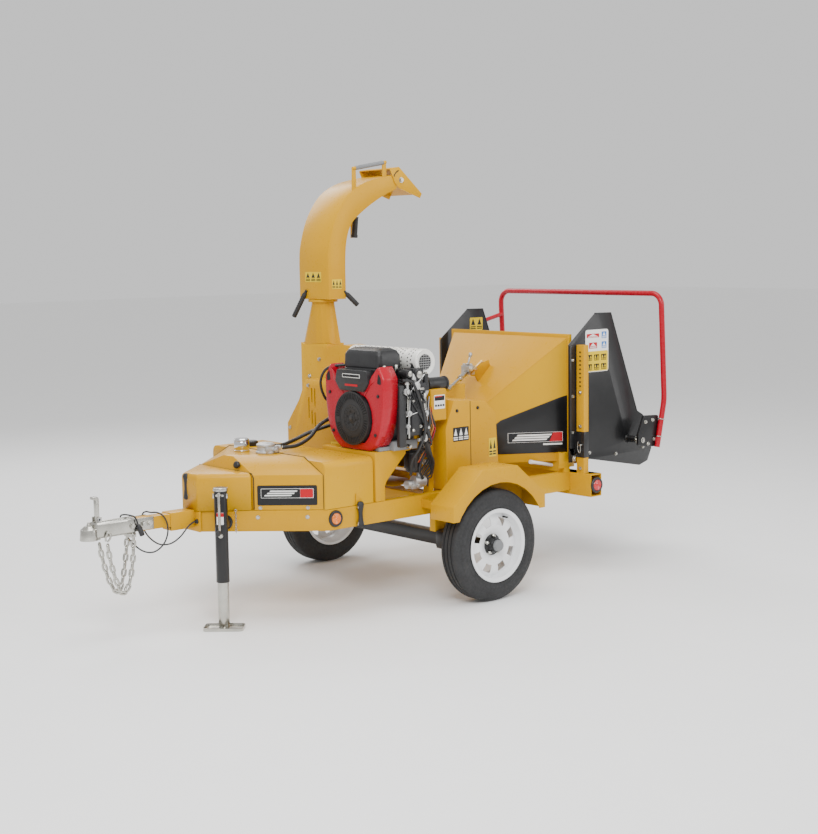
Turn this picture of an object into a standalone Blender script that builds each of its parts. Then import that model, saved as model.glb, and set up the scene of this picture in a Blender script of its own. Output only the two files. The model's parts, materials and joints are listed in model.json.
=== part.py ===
"""Trailer-mounted wood chipper: petrol engine, rotor with a swivel chute, hydraulic feed hopper.

Metres, +Z up. +X points to the rear (the feed hopper), +Y to the machine's right-hand side.
Everything is laid out from the axle and moved by AXLE_X at the end, so that the origin is
on the ground under the middle of the machine.
"""
import math

import bmesh
import bpy
from mathutils import Matrix, Vector

# ---- driving dimensions -------------------------------------------------
AXLE_X = 0.213          # axle line ahead of the origin
GAP = 0.0003            # clearance between touching pieces
TRACK = 1.236           # between wheel centres
TYRE_R = 0.2605
RAIL_Y = 0.440          # outer face of the frame rails
RAIL_Z0 = 0.405
RAIL_Z1 = 0.497
BEND_X = -0.790         # where the rails turn in to the tongue
NOSE_X = -1.204
NOSE_Y = 0.056
DECK_Z = 0.4985
FENDER_Y0 = 0.543
FENDER_Y1 = 0.698
CRANK = (-0.301, 0.867)     # engine crankshaft, y and z
ROTOR = (0.187, 0.820)      # rotor shaft, y and z
HOUSING_X0 = -0.200
HOUSING_X1 = -0.093
HOUSING_R = 0.340
CHUTE = (-0.1465, 0.4085)   # chute swivel axis, x and y
CHUTE_Z = 1.378
TABLE = (0.744, 0.566)      # feed table hinge, x and z
BAR = (1.140, 0.630)        # control bar pivot, x and z
JACK_OUT = 0.114            # jack centre from the rail's outer face
JACK_ALONG = 0.1107

YELLOW = (0.80, 0.50, 0.06)
BLACK = (0.03, 0.03, 0.032)
RED = (0.62, 0.02, 0.03)
ZINC = (0.72, 0.71, 0.66)
RUBBER = (0.025, 0.025, 0.027)
WHITE = (0.85, 0.85, 0.84)
STEEL = (0.45, 0.45, 0.45)

for old in list(bpy.data.objects):
    bpy.data.objects.remove(old, do_unlink=True)

MATERIALS = {}


def material(colour, rough, metal):
    key = (colour, rough, metal)
    if key not in MATERIALS:
        mat = bpy.data.materials.new("paint_%02d" % len(MATERIALS))
        mat.use_nodes = True
        bsdf = mat.node_tree.nodes["Principled BSDF"]
        bsdf.inputs["Base Color"].default_value = (*colour, 1.0)
        bsdf.inputs["Roughness"].default_value = rough
        bsdf.inputs["Metallic"].default_value = metal
        MATERIALS[key] = mat
    return MATERIALS[key]


def put(name, bm, colour=YELLOW, origin=(0, 0, 0), rough=0.4, metal=0.0):
    """Turn a bmesh in axle coordinates into a named object with its origin on its joint."""
    bmesh.ops.remove_doubles(bm, verts=bm.verts, dist=1e-6)
    bmesh.ops.recalc_face_normals(bm, faces=bm.faces)
    bmesh.ops.translate(bm, verts=bm.verts, vec=-Vector(origin))
    mesh = bpy.data.meshes.new(name)
    bm.to_mesh(mesh)
    bm.free()
    ob = bpy.data.objects.new(name, mesh)
    ob.location = origin
    mesh.materials.append(material(colour, rough, metal))
    bpy.context.scene.collection.objects.link(ob)
    return ob


TOOLS = [0]


def boolean(ob, bm, operation):
    TOOLS[0] += 1
    tool = put("cutter_%03d" % TOOLS[0], bm)
    tool.hide_render = True
    tool.display_type = "WIRE"
    mod = ob.modifiers.new(operation.lower(), "BOOLEAN")
    mod.operation = operation
    mod.object = tool
    return ob


def cut(ob, bm):
    return boolean(ob, bm, "DIFFERENCE")


def fuse(ob, bm):
    return boolean(ob, bm, "UNION")


# ---- shape helpers --------------------------------------------------------
def block(x0, x1, y0, y1, z0, z1, bevel=0.0):
    bm = bmesh.new()
    bmesh.ops.create_cube(bm, size=1.0)
    size = Matrix.Diagonal((x1 - x0, y1 - y0, z1 - z0, 1.0))
    place = Matrix.Translation(((x0 + x1) / 2, (y0 + y1) / 2, (z0 + z1) / 2))
    bmesh.ops.transform(bm, matrix=place @ size, verts=bm.verts)
    if bevel:
        bmesh.ops.bevel(bm, geom=bm.edges[:], offset=bevel, segments=1, affect="EDGES")
    return bm


def loft(rings, close=False):
    """Closed body through rings of points, capped at both ends unless it closes on itself."""
    bm = bmesh.new()
    rows = [[bm.verts.new(p) for p in ring] for ring in rings]
    n = len(rings[0])
    last = len(rows) if close else len(rows) - 1
    for i in range(last):
        a = rows[i]
        b = rows[(i + 1) % len(rows)]
        for j in range(n):
            k = (j + 1) % n
            bm.faces.new((a[j], a[k], b[k], b[j]))
    if not close:
        bm.faces.new(rows[0][::-1])
        bm.faces.new(rows[-1])
    return bm


def prism(profile, axis, lo, hi):
    """Extrude a 2-D outline: x takes (y, z), y takes (x, z), z takes (x, y)."""
    def at(p, h):
        if axis == "x":
            return (h, p[0], p[1])
        if axis == "y":
            return (p[0], h, p[1])
        return (p[0], p[1], h)
    return loft([[at(p, lo) for p in profile], [at(p, hi) for p in profile]])


def frame_of(direction):
    w = Vector(direction).normalized()
    side = Vector((0, 0, 1)) if abs(w.z) < 0.9 else Vector((1, 0, 0))
    u = side.cross(w).normalized()
    return u, w.cross(u), w


def ring(centre, direction, radius, n, turn=0.0):
    u, v = frame_of(direction)[:2]
    c = Vector(centre)
    out = []
    for i in range(n):
        a = 2 * math.pi * i / n + turn
        out.append(c + radius * (math.cos(a) * u + math.sin(a) * v))
    return out


def rod(p0, p1, r0, n=12, r1=None):
    d = Vector(p1) - Vector(p0)
    return loft([ring(p0, d, r0, n), ring(p1, d, r0 if r1 is None else r1, n)])


def lathe(profile, centre, axis, n):
    """Revolve a closed (radius, height) outline about an axis; radius 0 points merge."""
    u, v, w = frame_of(axis)
    c = Vector(centre)
    rings = []
    for i in range(n):
        a = 2 * math.pi * i / n
        d = math.cos(a) * u + math.sin(a) * v
        rings.append([c + r * d + h * w for r, h in profile])
    bm = loft(rings, close=True)
    bmesh.ops.remove_doubles(bm, verts=bm.verts, dist=1e-6)
    bmesh.ops.dissolve_degenerate(bm, edges=bm.edges, dist=1e-6)
    return bm


def smooth_path(points, count):
    """Points along a Catmull-Rom curve through the given ones."""
    pts = [Vector(p) for p in points]
    pts = [2 * pts[0] - pts[1]] + pts + [2 * pts[-1] - pts[-2]]
    spans = len(pts) - 3
    out = []
    for i in range(count + 1):
        s = spans * i / count
        k = min(int(s), spans - 1)
        t = s - k
        a, b, c, d = pts[k:k + 4]
        out.append(0.5 * ((2 * b) + (c - a) * t + (2 * a - 5 * b + 4 * c - d) * t * t
                          + (3 * b - a - 3 * c + d) * t ** 3))
    return out


def tube(points, radius, n):
    """Round solid bar along a polyline, its rings carried without twist."""
    pts = [Vector(p) for p in points]
    u, v, w = frame_of(pts[1] - pts[0])
    rings = []
    for i, p in enumerate(pts):
        a = pts[max(i - 1, 0)]
        b = pts[min(i + 1, len(pts) - 1)]
        t = (b - a).normalized()
        turn = w.rotation_difference(t)
        u = turn @ u
        w = t
        v = w.cross(u)
        grow = 1.0
        if 0 < i < len(pts) - 1:
            half = (pts[i] - a).angle(b - pts[i]) / 2
            grow = 1.0 / max(math.cos(half), 0.8)
        rings.append([p + radius * grow * (math.cos(2 * math.pi * j / n) * u
                                           + math.sin(2 * math.pi * j / n) * v) for j in range(n)])
    return loft(rings)


def rounded(corners, radius, steps=3):
    """A 2-D outline with each corner turned into a short arc."""
    out = []
    n = len(corners)
    for i in range(n):
        p = Vector(corners[i])
        a = Vector(corners[i - 1]) - p
        b = Vector(corners[(i + 1) % n]) - p
        ang = a.angle(b)
        back = min(radius / math.tan(ang / 2), a.length * 0.45, b.length * 0.45)
        s = p + a.normalized() * back
        e = p + b.normalized() * back
        for k in range(steps + 1):
            t = k / steps
            q = (1 - t) ** 2 * s + 2 * t * (1 - t) * p + t * t * e
            out.append((q.x, q.y))
    return out


def mirror(points):
    return [(x, -y) for x, y in points][::-1]


# ---- frame ----------------------------------------------------------------
def tongue():
    ob = put("tongue", block(-1.50, -1.0, -0.030, 0.030, 0.443, 0.4975))
    fuse(ob, block(-1.34, -1.2215, -0.036, 0.036, 0.424, 0.502))
    fuse(ob, block(-1.215, -1.2045, -0.066, 0.066, RAIL_Z0, RAIL_Z1))


def rail_outline(inset):
    """Plan of the left rail; inset moves its outer face in."""
    slope = (NOSE_Y - RAIL_Y) / (BEND_X - NOSE_X)
    length = math.hypot(1.0, slope)
    y_in = RAIL_Y - 0.05
    x_in = BEND_X + 0.05 * (length - 1) / slope * -1
    back = (y_in - 0.031) / slope
    shift = inset * length
    return [
        (NOSE_X + inset, -(NOSE_Y - shift - inset * slope)),
        (BEND_X - (length - 1) / slope * inset * -1, -(RAIL_Y - inset)),
        (0.739, -(RAIL_Y - inset)),
        (0.739, -y_in),
        (x_in, -y_in),
        (x_in + back, -0.031),
        (NOSE_X + inset, -0.031),
    ]


def rails():
    x_dir, n_dir = rail_axes()
    for name, side in (("rail_left", 1), ("rail_right", -1)):
        plan = rail_outline(0.0)
        core = [(NOSE_X + 0.06, -0.072), (BEND_X + 0.002, -0.433), (0.80, -0.433), (0.80, -0.30),
                (BEND_X + 0.10, -0.30), (NOSE_X + 0.16, -0.02), (NOSE_X + 0.06, -0.02)]
        if side < 0:
            plan = mirror(plan)
            core = mirror(core)
        ob = put(name, prism(plan, "z", RAIL_Z0, RAIL_Z1))
        cut(ob, prism(core, "z", RAIL_Z0 + 0.006, RAIL_Z1 - 0.006))
        y0, y1 = sorted((-0.436 * side, -0.396 * side))
        fuse(ob, block(-0.167, -0.093, y0, y1, 0.3145, 0.409))
        if side > 0:
            base = Vector((NOSE_X, -NOSE_Y, 0.45)) + x_dir * JACK_ALONG
            fuse(ob, rod(base - n_dir * 0.003, base + n_dir * 0.010, 0.036, 14))


def rail_axes():
    along = Vector((BEND_X - NOSE_X, -(RAIL_Y - NOSE_Y), 0)).normalized()
    return along, Vector((along.y, -along.x, 0))


def cross_members():
    put("cross_member_front", block(-0.66, -0.60, -0.3895, 0.3895, 0.412, 0.490))
    ob = put("rotor_stand", block(-0.160, -0.055, -0.3895, 0.3895, 0.412, 0.4785))
    fuse(ob, block(-0.150, -0.120, -0.375, -0.335, 0.470, 0.8325))
    fuse(ob, block(-0.084, -0.056, -0.375, -0.335, 0.470, 0.560))
    fuse(ob, block(-0.084, -0.056, 0.335, 0.375, 0.470, 0.560))
    fuse(ob, block(-0.083, -0.057, -0.360, 0.360, 0.525, 0.555))


def rear_bumper():
    ob = put("rear_bumper", block(0.7395, 0.819, -0.580, 0.580, 0.383, 0.496))
    cut(ob, block(0.7455, 0.813, -0.60, 0.60, 0.389, 0.490))
    for s in (-1, 1):
        y0, y1 = sorted((s * 0.482, s * 0.532))
        fuse(ob, block(0.7425, 0.7765, y0, y1, 0.486, 1.136))
        y0, y1 = sorted((s * 0.488, s * 0.536))
        cut(ob, block(0.7385, 0.7405, y0, y1, 0.700, 1.0))


def fenders():
    outline = [(-0.292, 0.405), (-0.292, 0.474), (-0.110, 0.624), (0.110, 0.624), (0.292, 0.474),
               (0.292, 0.405)]
    inner = [(-0.287, 0.395), (-0.287, 0.472), (-0.108, 0.619), (0.108, 0.619), (0.287, 0.472),
             (0.287, 0.395)]
    for name, s in (("fender_left", -1), ("fender_right", 1)):
        y0, y1 = sorted((s * FENDER_Y0, s * FENDER_Y1))
        ob = put(name, prism(outline, "y", y0, y1))
        cut(ob, prism(inner, "y", y0 + 0.005, y1 - 0.005))
        y0, y1 = sorted((s * 0.55, s * 0.71))
        cut(ob, rod((0, y0, TYRE_R), (0, y1, TYRE_R), 0.295, 32))
        for x in (-0.235, 0.235):
            y0, y1 = sorted((s * (RAIL_Y + GAP), s * (FENDER_Y0 + 0.003)))
            fuse(ob, block(x - 0.02, x + 0.02, y0, y1, 0.44, 0.48))


def axle():
    ob = put("axle_beam", block(-0.160, -0.100, -0.455, 0.455, 0.254, 0.314), BLACK)
    arm = rounded([(-0.180, 0.238), (-0.180, 0.328), (-0.085, 0.328), (0.034, 0.290),
                   (0.034, 0.232)], 0.02, 2)
    for s in (-1, 1):
        y0, y1 = sorted((s * 0.452, s * 0.500))
        fuse(ob, prism(arm, "y", y0, y1))
        fuse(ob, rod((0, s * 0.490, TYRE_R), (0, s * 0.640, TYRE_R), 0.020, 16))


def wheels():
    tyre = [(0.158, -0.050), (0.172, -0.056), (0.205, -0.061), (0.236, -0.057), (0.253, -0.049),
            (0.2605, -0.034), (0.2605, 0.034), (0.253, 0.049), (0.236, 0.057), (0.205, 0.061),
            (0.172, 0.056), (0.158, 0.050)]
    rim = [(0.0, 0.064), (0.0, 0.078), (0.026, 0.074), (0.030, 0.034), (0.048, 0.028), (0.1495, 0.028),
           (0.1495, 0.064), (0.171, 0.064), (0.171, 0.0585), (0.1572, 0.0580), (0.1572, -0.0580),
           (0.171, -0.0585), (0.171, -0.064), (0.1495, -0.064), (0.1495, 0.020), (0.048, 0.020),
           (0.042, -0.050), (0.0206, -0.050), (0.0206, 0.064)]
    for side, s in (("left", -1), ("right", 1)):
        hub = (0, s * TRACK / 2, TYRE_R)
        put("tyre_" + side, lathe(tyre, hub, (0, s, 0), 28), RUBBER, hub, 0.85)
        put("rim_" + side, lathe(rim, hub, (0, s, 0), 28), WHITE, hub, 0.35)


def coupler():
    ob = put("coupler", block(-1.70, -1.503, -0.034, 0.034, 0.438, 0.5035, 0.008), ZINC, rough=0.3, metal=1.0)
    fuse(ob, rod((-1.716, 0, 0.432), (-1.716, 0, 0.478), 0.040, 14, 0.036))
    fuse(ob, rod((-1.716, 0, 0.476), (-1.716, 0, 0.492), 0.036, 14, 0.018))
    for s in (-1, 1):
        y0, y1 = sorted((s * 0.0305, s * 0.0345))
        fuse(ob, block(-1.550, -1.425, y0, y1, 0.447, 0.500))
        y0, y1 = sorted((s * 0.0135, s * 0.0185))
        fuse(ob, block(-1.690, -1.664, y0, y1, 0.500, 0.526))
    cut(ob, rod((-1.716, 0, 0.42), (-1.716, 0, 0.468), 0.026, 14, 0.024))
    pivot = (-1.677, 0, 0.516)
    lever = put("coupler_latch", block(-1.684, -1.670, -0.0128, 0.0128, 0.5085, 0.609, 0.003), ZINC, pivot,
                0.3, 1.0)
    fuse(lever, block(-1.700, -1.676, -0.0128, 0.0128, 0.600, 0.612, 0.002))


def chains():
    ob = put("safety_chains", block(-1.535, -1.508, -0.030, 0.030, 0.420, 0.4375), ZINC, rough=0.35,
             metal=1.0)
    for y in (-0.022, 0.022):
        path = [(-1.655, 1.25 * y, 0.428), (-1.640, 1.1 * y, 0.34), (-1.612, y, 0.235), (-1.578, y, 0.180),
                (-1.550, y, 0.225), (-1.530, y, 0.33), (-1.521, y, 0.430)]
        fuse(ob, tube(smooth_path(path, 12), 0.009, 6))


def jack():
    along, out = rail_axes()
    base = Vector((NOSE_X, -NOSE_Y, 0)) + along * JACK_ALONG
    c = base + out * JACK_OUT
    pivot = (c.x, c.y, 0.45)
    ob = put("jack_tube", rod((c.x, c.y, 0.207), (c.x, c.y, 0.612), 0.0285, 16), BLACK, pivot, 0.4)
    cut(ob, rod((c.x, c.y, 0.18), (c.x, c.y, 0.600), 0.0247, 16))
    fuse(ob, rod((c.x, c.y, 0.606), (c.x, c.y, 0.619), 0.030, 16))
    z = Vector((0, 0, 0.45))
    fuse(ob, rod(base + z + out * 0.0103, base + z + out * (JACK_OUT - 0.026), 0.026, 14))
    fuse(ob, rod(base + z + out * 0.0103, base + z + out * 0.020, 0.034, 14))
    leg = put("jack_leg", rod((c.x, c.y, 0.008), (c.x, c.y, 0.335), 0.0243, 16), ZINC, (c.x, c.y, 0.0), 0.3,
              1.0)
    foot = []
    for u, v in rounded([(-0.0875, -0.05), (0.0875, -0.05), (0.0875, 0.05), (-0.0875, 0.05)], 0.02, 2):
        q = c + along * u + out * v
        foot.append((q.x, q.y))
    fuse(leg, prism(foot, "z", 0.0, 0.014))
    hub = c + Vector((0, 0, 0.595))
    crank = put("jack_crank", rod(hub + out * 0.0288, hub + out * 0.056, 0.009, 10), ZINC,
                tuple(hub + out * 0.04), 0.3, 1.0)
    a = hub + out * 0.050
    fuse(crank, rod(a + Vector((0, 0, 0.006)), a - Vector((0, 0, 0.165)), 0.006, 8))
    a = a - Vector((0, 0, 0.160))
    fuse(crank, rod(a - out * 0.004, a + out * 0.055, 0.011, 10))


def lights():
    for side, s in (("left", -1), ("right", 1)):
        for name, x, z, y, r, colour in (("side_marker_", -0.757, 0.455, RAIL_Y, 0.037, (0.9, 0.3, 0.02)),
                                         ("tail_light_", 0.779, 0.441, 0.580, 0.040, (0.5, 0.01, 0.02))):
            a = (x, s * (y + GAP), z)
            put(name + side, rod(a, (x, s * (y + 0.013), z), r, 18, r * 0.93), colour, rough=0.2)


# ---- wiring ---------------------------------------------------------------
def wiring():
    ob = put("cord_grommet", rod((-1.2232, -0.049, 0.452), (-1.2155, -0.049, 0.452), 0.009, 12, 0.011),
             RUBBER, rough=0.7)
    cut(ob, rod((-1.2262, -0.049, 0.452), (-1.2205, -0.049, 0.452), 0.0045, 12))
    curve = bpy.data.curves.new("trailer_cord", "CURVE")
    curve.dimensions = "3D"
    curve.bevel_depth = 0.0035
    curve.bevel_resolution = 2
    curve.use_fill_caps = True
    curve.render_resolution_u = 0
    route = smooth_path(CORD, 78)
    spline = curve.splines.new("POLY")
    spline.points.add(len(route) - 1)
    for point, place in zip(spline.points, route):
        point.co = (*place, 1.0)
    cord = bpy.data.objects.new("trailer_cord", curve)
    curve.materials.append(material(RUBBER, 0.6, 0.0))
    bpy.context.scene.collection.objects.link(cord)
    tip = Vector(CORD[-1])
    way = (tip - Vector(CORD[-2])).normalized()
    a = tip + way * GAP
    plug = put("trailer_plug", rod(a, a + way * 0.016, 0.007, 10, 0.010), RUBBER, rough=0.6)
    fuse(plug, rod(a + way * 0.014, a + way * 0.052, 0.0125, 8, 0.011))


CORD = [
    (-1.2208, -0.049, 0.452), (-1.236, -0.0500, 0.4515), (-1.268, -0.056, 0.436), (-1.310, -0.0575, 0.398),
    (-1.352, -0.0500, 0.374), (-1.392, -0.030, 0.372), (-1.417, 0.000, 0.392), (-1.431, 0.030, 0.425),
    (-1.434, 0.050, 0.463), (-1.431, 0.047, 0.499), (-1.425, 0.028, 0.5125), (-1.416, 0.004, 0.5110),
    (-1.402, -0.022, 0.5120), (-1.385, -0.043, 0.500), (-1.372, -0.054, 0.468), (-1.371, -0.058, 0.430),
    (-1.385, -0.060, 0.392), (-1.410, -0.056, 0.363), (-1.440, -0.043, 0.347), (-1.470, -0.018, 0.352),
    (-1.497, 0.012, 0.380), (-1.520, 0.040, 0.425), (-1.535, 0.050, 0.470), (-1.541, 0.042, 0.505),
    (-1.540, 0.015, 0.5155), (-1.530, -0.015, 0.5155), (-1.518, -0.039, 0.508), (-1.510, -0.0485, 0.478),
]


# ---- covers and tanks on the nose -----------------------------------------
def slab(ring_points, z):
    return [(x, y, z) for x, y in ring_points]


def battery_box():
    plan = [(-1.220, -0.060), (-1.0325, -0.217), (-1.0325, 0.217), (-1.220, 0.060)]
    top = [(-1.216, -0.052), (-1.0325, -0.205), (-1.0325, 0.205), (-1.216, 0.052)]
    inner = [(-1.2165, -0.0585), (-1.020, -0.2155), (-1.020, 0.2155), (-1.2165, 0.0585)]
    hinge = (-1.034, 0.0, 0.662)
    ob = put("battery_cover", loft([slab(plan, DECK_Z), slab(plan, 0.645), slab(top, 0.660)]), origin=hinge)
    cut(ob, loft([slab(inner, DECK_Z - 0.02), slab(inner, 0.642), slab(inner, 0.656)]))
    put("battery", block(-1.165, -1.045, -0.070, 0.070, 0.5005, 0.625, 0.004), BLACK, rough=0.5)


def hydraulic_tank():
    low = [(-1.0295, -0.2155), (-0.8065, -0.4245), (-0.8065, 0.4245), (-1.0295, 0.2155)]
    top = [(-1.0100, -0.036), (-0.8065, -0.290), (-0.8065, 0.290), (-1.0100, 0.036)]
    ob = put("hydraulic_tank", loft([slab(low, DECK_Z), slab(low, 0.652), slab(top, 0.716)]))
    low = [(-1.024, -0.211), (-0.812, -0.416), (-0.812, 0.416), (-1.024, 0.211)]
    top = [(-1.006, -0.036), (-0.812, -0.286), (-0.812, 0.286), (-1.006, 0.036)]
    cut(ob, loft([slab(low, DECK_Z + 0.004), slab(low, 0.651), slab(top, 0.712)]))
    cut(ob, rod((-0.88, 0.085, 0.70), (-0.88, 0.085, 0.73), 0.024, 16))
    cap = put("hydraulic_cap", rod((-0.88, 0.085, 0.7165), (-0.88, 0.085, 0.764), 0.036, 18, 0.034), ZINC,
              (-0.88, 0.085, 0.7165), 0.08, 1.0)
    fuse(cap, rod((-0.88, 0.085, 0.762), (-0.88, 0.085, 0.775), 0.034, 18, 0.026))


def fuel_tank():
    side = rounded([(-0.437, DECK_Z), (-0.437, 0.706), (0.437, 0.706), (0.437, DECK_Z)], 0.035, 3)
    side = [(y, z) for y, z in side if z > DECK_Z + 0.04]
    side = [(-0.437, DECK_Z)] + side + [(0.437, DECK_Z)]
    ob = put("fuel_tank", prism(side, "x", -0.8060, -0.5360))
    cut(ob, block(-0.802, -0.540, -0.430, 0.430, DECK_Z + 0.004, 0.700))
    cut(ob, rod((-0.70, 0.27, 0.69), (-0.70, 0.27, 0.72), 0.022, 14))
    cap = put("fuel_cap", rod((-0.70, 0.27, 0.7065), (-0.70, 0.27, 0.728), 0.034, 16, 0.031), BLACK,
              (-0.70, 0.27, 0.7065))
    fuse(cap, rod((-0.70, 0.27, 0.727), (-0.70, 0.27, 0.731), 0.029, 16, 0.022))


def hydraulics():
    ob = put("return_filter", rod((-0.845, -0.055, 0.7165), (-0.845, -0.055, 0.752), 0.036, 14), STEEL,
             rough=0.4, metal=0.6)
    fuse(ob, rod((-0.845, -0.055, 0.750), (-0.845, -0.055, 0.764), 0.030, 14, 0.026))
    fuse(ob, rod((-0.850, -0.055, 0.738), (-0.785, -0.085, 0.738), 0.013, 10))
    fuse(ob, rod((-0.845, -0.050, 0.736), (-0.788, -0.010, 0.736), 0.013, 10))
    near = [(-0.7795, -0.0875, 0.738), (-0.766, -0.0932, 0.738), (-0.70, -0.100, 0.742),
            (-0.61, -0.075, 0.768), (-0.535, -0.050, 0.815), (-0.44, -0.035, 0.845),
            (-0.36, -0.030, 0.850), (-0.3155, -0.030, 0.850)]
    far = [(-0.7845, -0.0076, 0.736), (-0.772, 0.0012, 0.736), (-0.70, 0.020, 0.732), (-0.61, 0.045, 0.745),
           (-0.53, 0.030, 0.775), (-0.44, 0.000, 0.800), (-0.36, -0.010, 0.808), (-0.3155, -0.010, 0.808)]
    put("hydraulic_hose_near", tube(smooth_path(near, 14), 0.009, 8), RUBBER, rough=0.5)
    put("hydraulic_hose_far", tube(smooth_path(far, 14), 0.009, 8), RUBBER, rough=0.5)


# ---- engine -----------------------------------------------------------------
def engine_mount():
    ob = put("engine_mount", block(-0.5250, -0.318, -0.4400, -0.055, 0.712, 0.7217))
    fuse(ob, block(-0.5250, -0.5190, -0.4400, -0.055, 0.4985, 0.716))
    gusset = [(-0.524, 0.4985), (-0.524, 0.720), (-0.345, 0.720), (-0.345, 0.700), (-0.460, 0.586),
              (-0.470, 0.565), (-0.470, 0.4985)]
    fuse(ob, prism(gusset, "y", -0.4400, -0.4340))
    fuse(ob, prism(gusset, "y", -0.0610, -0.0550))
    fuse(ob, block(-0.5250, -0.470, -0.4395, 0.3890, 0.4985, 0.5045))


def engine():
    y, z = CRANK
    half = [(0.115, 0.7225), (0.125, 0.845), (0.195, 0.915), (0.195, 0.975), (0.115, 1.030)]
    vee = [(y + a, b) for a, b in half] + [(y - a, b) for a, b in half[::-1]]
    ob = put("engine_block", prism(vee, "x", -0.449, -0.276), BLACK, rough=0.5)
    cut(ob, rod((-0.46, y, z), (-0.27, y, z), 0.0209, 18))
    outline = rounded([(y - 0.150, 0.7225), (y + 0.150, 0.7225), (y + 0.205, 0.850), (y + 0.212, 1.050),
                       (y + 0.172, 1.110), (y + 0.166, 1.0305), (y - 0.166, 1.0305), (y - 0.172, 1.110),
                       (y - 0.212, 1.050), (y - 0.205, 0.850)], 0.035, 2)
    inside = rounded([(y - 0.140, 0.7325), (y + 0.140, 0.7325), (y + 0.198, 0.853), (y + 0.205, 1.030),
                      (y + 0.182, 1.070), (y + 0.178, 1.0200), (y - 0.178, 1.0200), (y - 0.182, 1.070),
                      (y - 0.205, 1.030), (y - 0.198, 0.853)], 0.020, 2)
    shroud = put("engine_shroud", prism(outline, "x", -0.530, -0.4495), RED, rough=0.25)
    cut(shroud, prism(inside, "x", -0.524, -0.44))
    cut(shroud, rod((-0.54, y, z), (-0.50, y, z), 0.1285, 28))
    hub = (-0.50, y, z)
    fan = [(0.0208, 0.0), (0.0208, 0.050), (0.122, 0.050), (0.122, 0.0), (0.114, 0.0), (0.114, 0.010),
           (0.060, 0.030), (0.030, 0.0)]
    put("fan_screen", lathe([(r, h - 0.045) for r, h in fan], hub, (1, 0, 0), 28), BLACK, hub, 0.5)
    shaft = [(0.0, -0.540), (0.0205, -0.540), (0.0205, -0.268), (0.056, -0.266), (0.060, -0.258),
             (0.060, -0.2225), (0.056, -0.216), (0.0, -0.216)]
    put("crankshaft", lathe([(r, h + 0.50) for r, h in shaft], hub, (1, 0, 0), 24), STEEL, hub, 0.4, 0.8)
    put("air_cleaner", block(-0.500, -0.360, y - 0.143, y + 0.113, 1.0315, 1.180, 0.018), BLACK, rough=0.45)
    body = [(0.0, -0.255), (0.050, -0.255), (0.060, -0.245), (0.060, 0.255), (0.050, 0.265), (0.0, 0.265)]
    muffler = put("muffler", lathe(body, (-0.264, -0.24, 1.112), (0, 1, 0), 20), (0.78, 0.76, 0.70),
                  rough=0.35, metal=0.6)
    for side in (-1, 1):
        a = (-0.300, y + side * 0.07, 1.0370)
        fuse(muffler, rod(a, (-0.280, y + side * 0.07, 1.075), 0.014, 10))


def tangent_hull(r1, r2, n=14):
    """Outline of a belt round two wheels, as (y, z)."""
    a = Vector(CRANK)
    b = Vector(ROTOR)
    d = b - a
    base = math.atan2(d.y, d.x)
    lean = math.acos((r1 - r2) / d.length)
    out = []
    for i in range(n + 1):
        t = base + lean + (2 * math.pi - 2 * lean) * i / n
        out.append((a.x + r1 * math.cos(t), a.y + r1 * math.sin(t)))
    for i in range(n + 1):
        t = base - lean + 2 * lean * i / n
        out.append((b.x + r2 * math.cos(t), b.y + r2 * math.sin(t)))
    return out


def belt_drive():
    ob = put("drive_belt", prism(tangent_hull(0.0705, 0.1205), "x", -0.259, -0.222), RUBBER, rough=0.7)
    cut(ob, prism(tangent_hull(0.0612, 0.1112), "x", -0.27, -0.21))
    y, z = CRANK
    near = [(y - 0.110, 0.7235), (y + 0.30, 0.7235), (y + 0.30, 1.000), (y - 0.06, 1.000), (y - 0.110, 0.950)]
    far = [(-0.050, 0.530), (0.500, 0.530), (0.500, 0.765), (0.402, 0.885), (0.345, 0.990), (-0.050, 0.990)]
    ob = put("belt_guard", prism(near, "x", -0.2745, -0.2055))
    fuse(ob, prism(far, "x", -0.3150, -0.2055))
    inner = [(y - 0.104, 0.7295), (y + 0.285, 0.7295), (y + 0.285, 0.994), (y - 0.058, 0.994),
             (y - 0.104, 0.948)]
    cut(ob, prism(inner, "x", -0.2700, -0.19))
    inner = [(-0.044, 0.536), (0.494, 0.536), (0.494, 0.763), (0.397, 0.882), (0.341, 0.984), (-0.044, 0.984)]
    cut(ob, prism(inner, "x", -0.3100, -0.19))
    cut(ob, rod((-0.28, y, z), (-0.26, y, z), 0.030, 16))
    slits = ((0.320, 0.800, 0.905), (0.296, 0.880, 0.950), (0.296, 0.770, 0.840), (0.272, 0.860, 0.950),
             (0.272, 0.750, 0.830))
    for y0, z0, z1 in slits:
        cut(ob, block(-0.33, -0.30, y0 - 0.004, y0 + 0.004, z0, z1))


# ---- rotor ------------------------------------------------------------------
def housing_outline(radius, wall):
    y, z = ROTOR
    out = []
    sweep = 2 * math.pi - math.acos((0.315 + wall - y) / radius)
    for i in range(27):
        t = -sweep * i / 26
        out.append((y + radius * math.cos(t), z + radius * math.sin(t)))
    out.append((0.315 + wall, 1.160))
    out.append((y + radius, 1.160))
    return out


def duct_rings(wall):
    """Square-to-round neck between the housing and the swivel collar."""
    x, y = CHUTE
    hx = 0.0535 - wall
    hy = 0.106 - wall
    flat = []
    round_top = []
    for i in range(16):
        t = 2 * math.pi * (i + 0.5) / 16
        c = math.cos(t)
        s = math.sin(t)
        k = 1.0 / max(abs(c), abs(s))
        flat.append((x + hx * c * k, 0.421 + hy * s * k))
        round_top.append((x + (0.052 - wall) * c, y + (0.066 - wall) * s))
    return flat, round_top


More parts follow.
